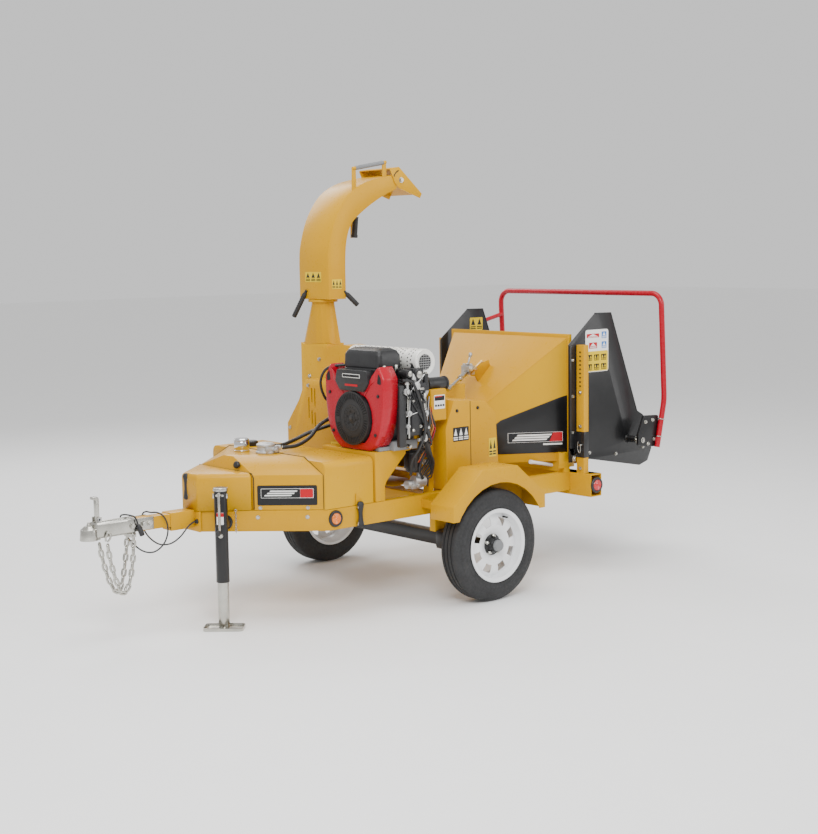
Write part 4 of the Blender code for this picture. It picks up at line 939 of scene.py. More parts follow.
def wall(ob, thickness):
    """Give an open shell its sheet thickness, inwards."""
    mod = ob.modifiers.new("wall", "SOLIDIFY")
    mod.thickness = thickness
    mod.offset = -1.0
    bpy.context.view_layer.update()
    made = bpy.data.meshes.new_from_object(ob.evaluated_get(bpy.context.evaluated_depsgraph_get()))
    ob.modifiers.clear()
    ob.data = made


def fuel_tank():
    half = rounded([(-0.437, 0.4988), (-0.437, 0.706), (0.437, 0.706), (0.437, 0.4988)], 0.036, 9)
    outline = [p for p in half if p[1] > 0.600]
    outline = [(-0.437, 0.4988)] + outline + [(0.437, 0.4988)]
    rows = []
    for x, k in ((-0.8060, 0.9955), (-0.8052, 0.9985), (-0.8035, 1.0), (-0.5385, 1.0), (-0.5368, 0.9985),
                 (-0.5360, 0.9955)):
        rows.append([W(x, y * k, 0.4988 + (z - 0.4988) * (1 - (1 - k) * 2.0)) for y, z in outline])
    ob = finish_mesh("fuel_tank_shell", loft(rows), "yellow_enamel", "chassis", angle=36)
    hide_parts("fuel_tank")


def draw_latch(name, centre, along, out):
    """Rubber draw latch: an upright strap with a nose, held by a bracket and a catch."""
    strap = []
    for h, r in ((-0.058, 0.0095), (-0.051, 0.0150), (-0.034, 0.0115), (-0.012, 0.0095), (0.012, 0.0095),
                 (0.030, 0.0120), (0.044, 0.0155), (0.054, 0.0120), (0.058, 0.0070)):
        strap.append([centre + UP * h + out * 0.013 + along * r * math.cos(t) * 1.15
                      + out * r * math.sin(t) * 0.8
                      for t in (2 * math.pi * i / 16 for i in range(16))])
    finish_mesh(name + "_strap", loft(strap), "grip_rubber", "chassis", angle=70)
    clamp = join(*[plate_box(centre + UP * h, along, out, 0.0165, 0.0075, 0.016) for h in (-0.040, 0.036)])
    finish_mesh(name + "_clamps", clamp, "zinc_plate", "chassis", 0.001)


def plate_box(centre, along, out, half_along, half_up, depth):
    rows = []
    for d in (0.0, depth):
        rows.append([centre + along * a + UP * u + out * d
                     for a, u in ((-half_along, -half_up), (half_along, -half_up), (half_along, half_up),
                                  (-half_along, half_up))])
    return loft(rows)


def tank_tops():
    lo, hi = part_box("hydraulic_cap")
    c = Vector(((lo.x + hi.x) / 2, (lo.y + hi.y) / 2, lo.z))
    profile = [(0.0, 0.0), (0.0355, 0.0), (0.0360, 0.004), (0.0335, 0.006), (0.0335, 0.012), (0.0350, 0.014),
               (0.0350, 0.044), (0.0335, 0.046), (0.0350, 0.048), (0.0345, 0.0535), (0.0300, 0.0578),
               (0.0, 0.0584)]
    cap = finish_mesh("filler_cap", lathe(profile, c, UP, 64), "polished_steel", "hydraulic_cap", angle=40)
    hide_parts("hydraulic_cap")
    lo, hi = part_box("fuel_cap")
    c = Vector(((lo.x + hi.x) / 2, (lo.y + hi.y) / 2, lo.z))
    ribs = []
    for i in range(48):
        t = 2 * math.pi * i / 48
        r = 0.0335 if i % 2 else 0.0318
        ribs.append((r * math.cos(t), r * math.sin(t)))
    rows = [[c + Vector((x * k, y * k, z)) for x, y in ribs] for k,
            z in ((0.97, 0.0), (1.0, 0.003), (1.0, 0.0190),
                                                                      (0.86, 0.0240))]
    cap = finish_mesh("fuel_cap_ribs", loft(rows), "moulded_black", "fuel_cap", angle=30)
    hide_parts("fuel_cap")
    head = join(lathe([(0.0, 0.0), (0.046, 0.0), (0.046, 0.008), (0.040, 0.012), (0.038, 0.030),
                       (0.043, 0.033),
                       (0.043, 0.041), (0.030, 0.0470), (0.0, 0.0476)], W(-0.845, -0.055, 0.7168), UP, 48),
                block(-0.872, -0.800, -0.098, -0.066, 0.7168, 0.7480),
                rod(W(-0.826, -0.098, 0.733), W(-0.826, -0.112, 0.733), 0.011, 6),
                rod(W(-0.852, -0.052, 0.738), W(-0.7860, -0.0845, 0.738), 0.0125, 28),
                rod(W(-0.845, -0.050, 0.736), W(-0.7890, -0.0106, 0.736), 0.0125, 28),
                rod(W(-0.812, -0.0720, 0.738), W(-0.7955, -0.0798, 0.738), 0.0135, 6),
                rod(W(-0.810, -0.0254, 0.736), W(-0.7960, -0.0156, 0.736), 0.0135, 6))
    ob = finish_mesh("filter_head", head, "cast_aluminium", "chassis", 0.0008)
    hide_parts("return_filter")
    flange = [W(-0.845 + 0.030 * math.cos(t), -0.055 + 0.030 * math.sin(t), 0.7225) for t in (0.6, 2.2, 3.7,
        5.3)]
    tops = [p + UP * 0.006 for p in flange]
    bolts("filter_bolts", tops, UP, "chassis", 0.008, 0.005)
    hoses = (("hydraulic_hose_near", [(-0.7795, -0.0875, 0.738), (-0.766, -0.0932, 0.738),
                                      (-0.70, -0.100, 0.742),
                                      (-0.61, -0.075, 0.768), (-0.535, -0.050, 0.815), (-0.44, -0.035, 0.845),
                                      (-0.36, -0.030, 0.850), (-0.3155, -0.030, 0.850)]),
             ("hydraulic_hose_far", [(-0.7845, -0.0076, 0.736), (-0.772, 0.0012, 0.736),
                                     (-0.70, 0.020, 0.732),
                                     (-0.61, 0.045, 0.745), (-0.53, 0.030, 0.775), (-0.44, 0.000, 0.800),
                                     (-0.36, -0.010, 0.808), (-0.3155, -0.010, 0.808)]))
    for node, points in hoses:
        path = smooth_path([W(*p) for p in points], 90)
        ob = finish_mesh(node + "_rubber", tube(path, 0.0088, 20), "cable_rubber", "chassis", angle=60)
        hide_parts(node)
        ends = join(rod(path[0], path[3], 0.0098, 24), rod(path[-3], path[-1], 0.0098, 24))
        finish_mesh(node + "_ferrules", ends, "zinc_plate", "chassis", 0.0006)


# ---- engine -------------------------------------------------------------------------------------
CRANK_Y = -0.301
CRANK_Z = 0.867


def engine():
    refine("engine_mount", "yellow_enamel", 0.002, 3)
    refine("engine_block", "black_casting", 0.006, 3)
    shroud()
    refine("crankshaft", "machined_steel", 0.0008)
    forward = Vector((-1, 0, 0))
    bezel = lathe([(0.1290, -0.010), (0.1365, -0.002), (0.1400, 0.0), (0.1400, -0.004), (0.1290, -0.016)],
                  W(-0.5302, CRANK_Y, CRANK_Z), forward, 96)
    finish_mesh("fan_bezel", bezel, "red_enamel", "chassis", angle=50)
    fan_screen(forward)
    air_cleaner()
    muffler()
    cylinders()
    engine_side()
    low_clutter()
    wiring_loom()


def shroud():
    """Pressed blower housing: round at the bottom, two ears above, hollow behind."""
    half = [(0.100, 0.7225), (0.148, 0.752), (0.178, 0.795), (0.197, 0.850), (0.208, 0.920), (0.2125, 1.000),
            (0.2120, 1.052), (0.174, 1.109), (0.161, 1.088), (0.150, 1.046), (0.128, 1.0310)]
    points = [(CRANK_Y + a, b) for a, b in half] + [(CRANK_Y - a, b) for a, b in half[::-1]]
    shape = rounded(points, 0.020, 5)
    rows = []
    for x, k in ((-0.4495, 1.0), (-0.500, 1.0), (-0.5150, 0.996), (-0.5240, 0.984), (-0.5285, 0.966),
                 (-0.530, 0.944),
                 (-0.530, 0.800)):
        rows.append([W(x, CRANK_Y + (y - CRANK_Y) * k, 0.900 + (z - 0.900) * (1 - (1 - k) * 0.9)) for y,
                     z in shape])
    centre = W(-0.530, CRANK_Y, CRANK_Z)
    hole = []
    for p in rows[-1]:
        d = Vector((0, p.y - centre.y, p.z - centre.z)).normalized()
        hole.append(centre + d * 0.1300)
    rows.append(hole)
    rows.append([p + Vector((0.012, 0, 0)) for p in hole])
    ob = finish_mesh("shroud_shell", loft(rows, caps=False), "red_enamel", "chassis", angle=42)
    wall(ob, 0.003)
    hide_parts("engine_shroud")
    # Painted shade: dark patches on the ears stand in for the shaded openings of the windows.
    for s in (-1, 1):
        window = rounded([(CRANK_Y + s * 0.166, 1.030), (CRANK_Y + s * 0.194, 1.026),
                          (CRANK_Y + s * 0.192, 1.056),
                          (CRANK_Y + s * 0.174, 1.078)], 0.006, 4)
        finish_mesh("shroud_window_%s" % ("near" if s < 0 else "far"),
                    prism(window, "x", -0.5304, -0.5296), "painted_shade", "chassis")
    spots = [W(-0.5302, CRANK_Y + a, b) for a, b in ((-0.150, 0.800), (0.150, 0.800), (-0.172, 0.975),
                                                     (0.172, 0.975))]
    bolts("shroud_bolts", spots, (-1, 0, 0), "chassis", 0.011, 0.006, "moulded_black")


def fan_screen(forward):
    """Moulded rotating screen: radial slots round a ribbed hub."""
    body = "crankshaft"
    c = W(-0.5440, CRANK_Y, CRANK_Z)
    plate_back = lathe([(0.0209, 0.0), (0.1215, 0.0), (0.1215, -0.040), (0.118, -0.040), (0.118, -0.0045),
                        (0.0209, -0.0045)], c, forward, 96)
    ob = finish_mesh("fan_plate", plate_back, "moulded_black", body, 0.0006)
    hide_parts("fan_screen")
    rings = []
    for r0, r1, h in ((0.1155, 0.1215, 0.0009), (0.0800, 0.0835, 0.0009), (0.0560, 0.0620, 0.0009),
                      (0.0400, 0.0430, 0.0009), (0.0209, 0.0250, 0.0009)):
        rings.append(lathe([(r0, -0.003), (r1, -0.003), (r1, h), (r0, h)], c, forward, 96))
    finish_mesh("fan_rings", join(*rings), "moulded_black", body, 0.0004)
    # Painted shade: dark sheets in the slots below stand in for the shade behind the screen.
    slots = []
    fins = []
    for i in range(54):
        t = 2 * math.pi * i / 54
        d = Vector((0, math.cos(t), math.sin(t)))
        e = Vector((0, -math.sin(t), math.cos(t)))
        a = c + d * 0.086
        b = c + d * 0.113
        base = (a + e * 0.0014, a - e * 0.0014, b - e * 0.0018, b + e * 0.0018)
        fins.append(loft([base, [p + forward * 0.0020 for p in base]]))
        if i % 9 < 7:
            mid = c + Vector((0, math.cos(t + 0.0582), math.sin(t + 0.0582))) * 0.100
            dd = Vector((0, math.cos(t + 0.0582), math.sin(t + 0.0582)))
            ee = Vector((0, -math.sin(t + 0.0582), math.cos(t + 0.0582)))
            corners = [mid + dd * 0.012 + ee * 0.0038, mid + dd * 0.012 - ee * 0.0038,
                       mid - dd * 0.012 - ee * 0.003,
                       mid - dd * 0.012 + ee * 0.003]
            slots.append(loft([[p + forward * 0.0002 for p in corners],
                               [p + forward * 0.0004 for p in corners]]))
    finish_mesh("fan_fins", join(*fins), "moulded_black", body)
    finish_mesh("fan_slots", join(*slots), "painted_shade", body)
    # Painted shade: dark discs stand in for the shaded holes in the hub.
    holes = []
    for i in range(6):
        t = 2 * math.pi * i / 6 + 0.2
        p = c + Vector((0, math.cos(t), math.sin(t))) * 0.031
        holes.append(rod(p, p + forward * 0.0006, 0.0052, 20))
    for i in range(18):
        t = 2 * math.pi * i / 18
        p = c + Vector((0, math.cos(t), math.sin(t))) * 0.0495
        holes.append(rod(p, p + forward * 0.0006, 0.0024, 12))
    finish_mesh("fan_holes", join(*holes), "painted_shade", body)
    nut = join(rod(c - forward * 0.010, c + forward * 0.0005, 0.0200, 32),
               rod(c, c + forward * 0.0030, 0.0110, 6))
    finish_mesh("fan_nut", nut, "black_casting", body, 0.0006)


def air_cleaner():
    lo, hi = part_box("air_cleaner")
    x0, x1 = lo.x - AXLE, hi.x - AXLE
    y0, y1 = lo.y, hi.y
    rows = []
    for z, inset in ((lo.z, 0.004), (lo.z + 0.055, 0.0), (lo.z + 0.058, 0.003), (lo.z + 0.062, 0.003),
                     (lo.z + 0.065, 0.0), (hi.z - 0.030, 0.002), (hi.z - 0.010, 0.012), (hi.z, 0.030)):
        shape = rounded([(x0 + inset, y0 + inset), (x1 - inset, y0 + inset), (x1 - inset, y1 - inset),
                         (x0 + inset, y1 - inset)], 0.026, 8)
        rows.append([W(x, y, z) for x, y in shape])
    ob = finish_mesh("air_cleaner_cover", loft(rows), "moulded_black", "chassis", 0.001, 40)
    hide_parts("air_cleaner")
    badge = rounded([(CRANK_Y - 0.118, 1.030), (CRANK_Y - 0.085, 0.990), (CRANK_Y + 0.085, 0.990),
                     (CRANK_Y + 0.118, 1.030), (CRANK_Y + 0.105, 1.085), (CRANK_Y - 0.105, 1.085)], 0.014, 6)
    finish_mesh("engine_front_cover", prism(badge, "x", -0.5435, -0.500), "moulded_black", "chassis", 0.004)
    label("engine_badge", W(-0.5438, CRANK_Y + 0.062, 1.050), (0, -1, 0), UP, 0.124, 0.017, "label_white",
          "chassis")
    label("engine_badge_core", W(-0.5442, CRANK_Y + 0.059, 1.0525), (0, -1, 0), UP, 0.118, 0.012,
          "label_black",
          "chassis")
    label("engine_badge_line", W(-0.5438, CRANK_Y + 0.045, 1.012), (0, -1, 0), UP, 0.090, 0.009, "label_red",
          "chassis")
    wing = [W(-0.498 + 0.02 * i, y1 + 0.0004, 1.085) for i in range(6)]
    clips = [plate_box(p, Vector((1, 0, 0)), Vector((0, 1, 0)), 0.006, 0.014, 0.004)
             for p in wing[1::3]]
    near = [plate_box(W(-0.47 + 0.07 * i, y0 - 0.0040, 1.090), Vector((1, 0, 0)), Vector((0, 1, 0)), 0.008,
                      0.016,
                      0.0045) for i in range(2)]
    finish_mesh("air_cleaner_clips", join(*clips, *near), "zinc_plate", "chassis", 0.001)


def muffler():
    c = W(-0.264, -0.24, 1.112)
    axis = Vector((0, 1, 0))
    body = [(0.0, -0.246), (0.052, -0.246), (0.0575, -0.250), (0.060, -0.244), (0.060, 0.244),
            (0.0575, 0.250),
            (0.052, 0.255), (0.0, 0.262)]
    parts = [lathe(body, c, axis, 64)]
    for s in (-1, 1):
        parts.append(rod(W(-0.300, CRANK_Y + s * 0.07, 1.0345), W(-0.280, CRANK_Y + s * 0.07, 1.080), 0.0135,
                         28))
        parts.append(lathe([(0.0600, -0.006), (0.0604, -0.005), (0.0604, 0.005), (0.0600, 0.006)],
                           c + axis * s * 0.17, axis, 64))
    ob = finish_mesh("muffler_shield", join(*parts), "heat_shield", "chassis", 0.0006, 40)
    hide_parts("muffler")
    # Painted shade: dark discs stand in for the shaded perforations of the shield.
    dots = []
    for i in range(21):
        y = -0.215 + 0.0215 * i
        for k in range(7):
            t = math.radians(100 + 17 * k + (8 if i % 2 else 0))
            d = Vector((math.cos(t), 0, math.sin(t)))
            p = c + axis * y + d * 0.0599
            dots.append(loft([ring(p, d, 0.0042, 10), ring(p + d * 0.0003, d, 0.0042, 10)]))
    finish_mesh("muffler_perforations", join(*dots), "painted_shade", "chassis")
    # Painted shade: a dark disc stands in for the shaded bore of the outlet.
    end = c - axis * 0.2475
    cells = [rod(end, end - axis * 0.0008, 0.036, 40)]
    finish_mesh("muffler_outlet", join(*cells), "painted_shade", "chassis")
    bars = []
    for i in range(-3, 4):
        half = math.sqrt(max(0.036 ** 2 - (0.0105 * i) ** 2, 0.0))
        a = end + Vector((0.0105 * i, -0.0015, 0))
        bars.append(rod(a - UP * half, a + UP * half, 0.0011, 8))
        a = end + Vector((0, -0.0025, 0.0105 * i))
        bars.append(rod(a - Vector((half, 0, 0)), a + Vector((half, 0, 0)), 0.0011, 8))
    finish_mesh("muffler_grille", join(*bars), "machined_steel", "chassis")


def cylinders():
    """Finned cylinder with its head cover, ignition plate and brackets on the near side."""
    fins = []
    for i in range(9):
        z = 0.880 + 0.0125 * i
        fins.append(block(-0.440, -0.300, CRANK_Y - 0.2080, CRANK_Y - 0.120, z, z + 0.0030))
        fins.append(block(-0.440, -0.300, CRANK_Y + 0.120, CRANK_Y + 0.2080, z, z + 0.0030))
    finish_mesh("cylinder_fins", join(*fins), "cast_aluminium", "chassis", 0.0006)
    cover = rounded([(-0.392, 0.790), (-0.330, 0.790), (-0.306, 0.815), (-0.306, 0.965), (-0.330, 0.990),
                     (-0.392, 0.975)], 0.014, 6)
    near = prism(cover, "y", CRANK_Y - 0.2210, CRANK_Y - 0.1980)
    finish_mesh("cylinder_cover_near", near, "moulded_black", "chassis", 0.004)
    far = prism(cover, "y", CRANK_Y + 0.1980, CRANK_Y + 0.2210)
    finish_mesh("cylinder_cover_far", far, "moulded_black", "chassis", 0.004)
    inset = rounded([(-0.380, 0.806), (-0.338, 0.806), (-0.320, 0.824), (-0.320, 0.956), (-0.380, 0.956)],
                    0.010, 5)
    finish_mesh("head_plate_near", prism(inset, "y", CRANK_Y - 0.2260, CRANK_Y - 0.2200), "black_casting",
                "chassis",
                0.0015)
    spots = [W(x, CRANK_Y - 0.2262, z) for x, z in ((-0.373, 0.815), (-0.330, 0.830), (-0.330, 0.947),
                                                    (-0.373, 0.947))]
    bolts("head_bolts_near", spots, (0, -1, 0), "chassis", 0.010, 0.006)
    spots = [W(x, CRANK_Y + 0.2212, z) for x, z in ((-0.43, 0.79), (-0.335, 0.80), (-0.315, 1.0),
                                                    (-0.43, 1.02))]
    bolts("head_bolts_far", spots, (0, 1, 0), "chassis", 0.010, 0.006)
    silver = join(rod(W(-0.36, CRANK_Y - 0.214, 1.035), W(-0.33, CRANK_Y - 0.190, 1.080), 0.012, 24),
                  rod(W(-0.405, CRANK_Y - 0.2255, 0.995), W(-0.405, CRANK_Y - 0.2255, 1.045), 0.0065, 18),
                  rod(W(-0.300, CRANK_Y - 0.190, 0.930), W(-0.250, CRANK_Y - 0.175, 0.985), 0.015, 24),
                  block(-0.330, -0.285, CRANK_Y - 0.200, CRANK_Y - 0.130, 1.035, 1.062))
    finish_mesh("engine_fittings", silver, "cast_aluminium", "chassis", 0.0015)
    lid = join(block(-0.345, -0.285, CRANK_Y - 0.130, CRANK_Y - 0.040, 1.036, 1.060),
               rod(W(-0.305, CRANK_Y - 0.165, 1.06), W(-0.305, CRANK_Y - 0.165, 1.115), 0.022, 28, 0.019))
    finish_mesh("ignition_coil", lid, "moulded_black", "chassis", 0.003)
    base = join(block(-0.500, -0.300, CRANK_Y - 0.140, CRANK_Y + 0.140, 0.7225, 0.7420),
                block(-0.440, -0.300, CRANK_Y - 0.170, CRANK_Y - 0.120, 0.7225, 0.765))
    finish_mesh("engine_base", base, "grey_enamel", "chassis", 0.004)
    drain = rod(W(-0.37, CRANK_Y - 0.172, 0.742), W(-0.37, CRANK_Y - 0.205, 0.738), 0.010, 6)
    finish_mesh("oil_drain", drain, "zinc_plate", "chassis", 0.001)


def engine_side():
    """Ignition plates, linkage, pipes and sensors crowded on the near side of the engine."""
    y = CRANK_Y - 0.2110
    shield = rounded([(-0.4490, 0.742), (-0.415, 0.742), (-0.405, 0.800), (-0.412, 0.900), (-0.400, 0.985),
                      (-0.420, 1.020), (-0.4490, 1.020)], 0.010, 5)
    finish_mesh("side_shield", prism(shield, "y", y - 0.010, y + 0.012), "moulded_black", "chassis", 0.003)
    silver = []
    for x, z, r, h in ((-0.408, 0.990, 0.016, 0.030), (-0.396, 0.892, 0.0125, 0.034),
                       (-0.402, 0.835, 0.010, 0.030),
                       (-0.345, 1.012, 0.019, 0.022), (-0.292, 0.885, 0.013, 0.026),
                       (-0.288, 0.820, 0.0105, 0.030),
                       (-0.298, 0.770, 0.0125, 0.022)):
        silver.append(rod(W(x, y + 0.012, z), W(x, y - h * 0.6, z), r, 24))
        silver.append(rod(W(x, y - h * 0.6, z), W(x, y - h * 0.85, z), r * 0.62, 6))
    finish_mesh("side_fittings", join(*silver), "cast_aluminium", "chassis", 0.0012)
    plates = []
    for x0, x1, z0, z1, d in ((-0.402, -0.388, 0.900, 0.984, 0.010), (-0.400, -0.392, 0.780, 0.880, 0.014),
                              (-0.300, -0.284, 0.900, 0.975, 0.006), (-0.420, -0.372, 1.022, 1.030, 0.018),
                              (-0.372, -0.300, 0.992, 1.002, 0.010), (-0.296, -0.276, 0.775, 0.806, 0.012)):
        plates.append(block(x0, x1, y - d, y + 0.020, z0, z1))
    finish_mesh("side_brackets", join(*plates), "zinc_plate", "chassis", 0.0012)
    linkage = join(rod(W(-0.405, y - 0.012, 0.800), W(-0.385, y - 0.014, 0.990), 0.0028, 12),
                   rod(W(-0.385, y - 0.014, 0.990), W(-0.300, y - 0.010, 1.060), 0.0026, 12),
                   rod(W(-0.415, y - 0.016, 0.880), W(-0.300, y - 0.018, 0.905), 0.0024, 12),
                   rod(W(-0.298, y - 0.012, 0.780), W(-0.276, y - 0.014, 0.960), 0.0026, 12))
    finish_mesh("side_linkage", linkage, "polished_steel", "chassis")
    dark = join(block(-0.372, -0.306, y - 0.004, y + 0.060, 1.004, 1.046),
                block(-0.352, -0.292, y + 0.004, y + 0.070, 1.046, 1.088),
                rod(W(-0.330, y - 0.010, 1.062), W(-0.330, y + 0.050, 1.062), 0.022, 28),
                block(-0.318, -0.262, y + 0.000, y + 0.050, 0.985, 1.022),
                rod(W(-0.275, y + 0.010, 1.010), W(-0.275, y + 0.010, 1.062), 0.013, 20),
                rod(W(-0.382, y - 0.006, 1.068), W(-0.382, y + 0.050, 1.068), 0.019, 28))
    finish_mesh("side_carburettor", dark, "black_casting", "chassis", 0.0022)
    caps = join(lathe([(0.0, 0.0), (0.0165, 0.0), (0.0165, 0.004), (0.012, 0.0055), (0.0, 0.006)],
                      W(-0.330, y - 0.010, 1.062), (0, -1, 0), 32),
                lathe([(0.0, 0.0), (0.0120, 0.0), (0.0120, 0.004), (0.0, 0.005)], W(-0.382, y - 0.006, 1.068),
                      (0, -1, 0), 28),
                rod(W(-0.275, y + 0.010, 1.060), W(-0.275, y + 0.010, 1.070), 0.008, 6))
    finish_mesh("side_caps", caps, "zinc_plate", "chassis", 0.0005)
    leads = []
    for i in range(7):
        k = 0.009 * i
        route = [(-0.402 + k, y - 0.008, 1.050 - 0.5 * k), (-0.410 + 2 * k, y - 0.016, 0.990 - k),
                 (-0.372 + k, y - 0.020, 0.930), (-0.322 + k, y - 0.018, 0.860 - 2 * k),
                 (-0.286 + 0.6 * k, y - 0.004 + k * 0.4, 0.800 - k), (-0.270 + 0.7 * k, y + 0.02, 0.735 - k),
                 (-0.250 + k, y + 0.05, 0.690 - k)]
        leads.append(tube(smooth_path([W(*p) for p in route], 48), 0.0024 if i % 2 else 0.0034, 8))
    finish_mesh("side_leads", join(*leads), "cable_rubber", "chassis", angle=60)


def low_clutter():
    """Valves, connectors and hose tails hanging between the engine mount and the side guard."""
    cast = join(rod(W(-0.270, -0.400, 0.560), W(-0.205, -0.400, 0.552), 0.026, 28),
                rod(W(-0.300, -0.388, 0.545), W(-0.262, -0.388, 0.545), 0.020, 24),
                block(-0.285, -0.225, -0.415, -0.360, 0.525, 0.548), rod(W(-0.235, -0.402, 0.560),
                                                                         W(-0.235, -0.402, 0.598), 0.012, 6),
                rod(W(-0.190, -0.385, 0.640), W(-0.140, -0.385, 0.632), 0.013, 20),
                rod(W(-0.262, -0.418, 0.540), W(-0.262, -0.432, 0.540), 0.0095, 6))
    finish_mesh("return_valve", cast, "cast_aluminium", "chassis", 0.0015)
    plugs = []
    for x, y, z in ((-0.188, -0.400, 0.772), (-0.214, -0.404, 0.742), (-0.176, -0.392, 0.716),
                    (-0.232, -0.410, 0.786),
                    (-0.205, -0.398, 0.690), (-0.160, -0.388, 0.668), (-0.246, -0.408, 0.650)):
        plugs.append(block(x - 0.013, x + 0.013, y - 0.010, y + 0.010, z - 0.0085, z + 0.0085))
    finish_mesh("loom_plugs", join(*plugs), "moulded_black", "chassis", 0.0018)
    finish_mesh("loom_plug_white", join(block(-0.236, -0.216, -0.424, -0.408, 0.800, 0.818),
                                        block(-0.252, -0.234, -0.424, -0.408, 0.744, 0.758)), "label_white",
                "chassis",
                0.0015)
    finish_mesh("loom_plug_red", block(-0.226, -0.208, -0.424, -0.410, 0.826, 0.842), "label_red", "chassis",
                0.0015)
    tails = []
    for i in range(6):
        k = 0.012 * i
        route = [(-0.256 + k, -0.412, 0.800 - 0.5 * k), (-0.232 + k, -0.424 + 0.3 * k, 0.752 - k),
                 (-0.200 + 0.8 * k, -0.415, 0.700 - k), (-0.176 + 0.3 * k, -0.402, 0.660 - 1.5 * k),
                 (-0.200 + 0.5 * k, -0.395, 0.620 - k), (-0.240 + k, -0.400, 0.585 - k)]
        tails.append(tube(smooth_path([W(*p) for p in route], 44), 0.0030 if i % 2 else 0.0045, 10))
    finish_mesh("loom_tails", join(*tails), "cable_rubber", "chassis", angle=60)


def wiring_loom():
    """Loose loom, pipes and clips between the engine and the control box."""
    y = CRANK_Y - 0.2330
    dark = []
    routes = (
        [(-0.440, y, 1.045), (-0.385, y - 0.006, 1.030), (-0.350, y - 0.008, 0.960),
         (-0.318, y - 0.004, 0.880),
         (-0.310, y, 0.800), (-0.325, y + 0.02, 0.730), (-0.345, y + 0.05, 0.670), (-0.330, y + 0.08, 0.600)],
        [(-0.300, y + 0.04, 0.990), (-0.270, y + 0.03, 0.930), (-0.255, y + 0.03, 0.850),
         (-0.272, y + 0.04, 0.780),
         (-0.300, y + 0.07, 0.700), (-0.290, y + 0.09, 0.620)],
        [(-0.225, y + 0.07, 0.900), (-0.210, y + 0.06, 0.850), (-0.190, y + 0.07, 0.800),
         (-0.205, y + 0.08, 0.740),
         (-0.240, y + 0.09, 0.680), (-0.260, y + 0.10, 0.620), (-0.230, y + 0.11, 0.570)],
        [(-0.440, CRANK_Y + 0.10, 1.10), (-0.520, CRANK_Y + 0.19, 1.085), (-0.535, CRANK_Y + 0.235, 1.020),
         (-0.500, CRANK_Y + 0.250, 0.940), (-0.440, CRANK_Y + 0.250, 0.900)])
    for route in routes:
        dark.append(tube(smooth_path([W(*p) for p in route], 60), 0.0062, 14))
    finish_mesh("loom_main", join(*dark), "cable_rubber", "chassis", angle=60)
    thin = []
    for i in range(5):
        k = 0.011 * i
        route = [(-0.262 + k, y + 0.06, 0.905), (-0.245 + k, y + 0.045 + k * 0.4, 0.860 - k),
                 (-0.250 + k, y + 0.05,
                 0.800), (-0.275 + k, y + 0.08, 0.740 - k), (-0.285 + k * 0.5, y + 0.10, 0.650)]
        thin.append(tube(smooth_path([W(*p) for p in route], 40), 0.0021, 8))
    finish_mesh("loom_wires_black", join(*thin[:3]), "cable_rubber", "chassis", angle=60)
    finish_mesh("loom_wire_copper", thin[3], "copper_wire", "chassis", angle=60)
    finish_mesh("loom_wire_red", thin[4], "label_red", "chassis", angle=60)
    filter_can = join(rod(W(-0.262, -0.395, 0.610), W(-0.262, -0.395, 0.690), 0.037, 36),
                      rod(W(-0.262, -0.395, 0.602), W(-0.262, -0.395, 0.612), 0.030, 36, 0.036),
                      rod(W(-0.262, -0.395, 0.688), W(-0.262, -0.395, 0.698), 0.040, 36))
    finish_mesh("oil_filter", filter_can, "moulded_black", "chassis", 0.0015)
    bracket = join(block(-0.300, -0.165, -0.412, -0.372, 0.698, 0.7045),
                   block(-0.300, -0.292, -0.412, -0.372, 0.620, 0.700))
    finish_mesh("filter_bracket", bracket, "black_enamel", "chassis", 0.0015)
    solenoid = join(rod(W(-0.225, -0.405, 0.725), W(-0.175, -0.405, 0.725), 0.019, 28),
                    rod(W(-0.232, -0.405, 0.725), W(-0.168, -0.405, 0.725), 0.006, 16),
                    rod(W(-0.200, -0.405, 0.740), W(-0.200, -0.405, 0.765), 0.006, 16))
    finish_mesh("fuel_pump", solenoid, "cast_aluminium", "chassis", 0.001)


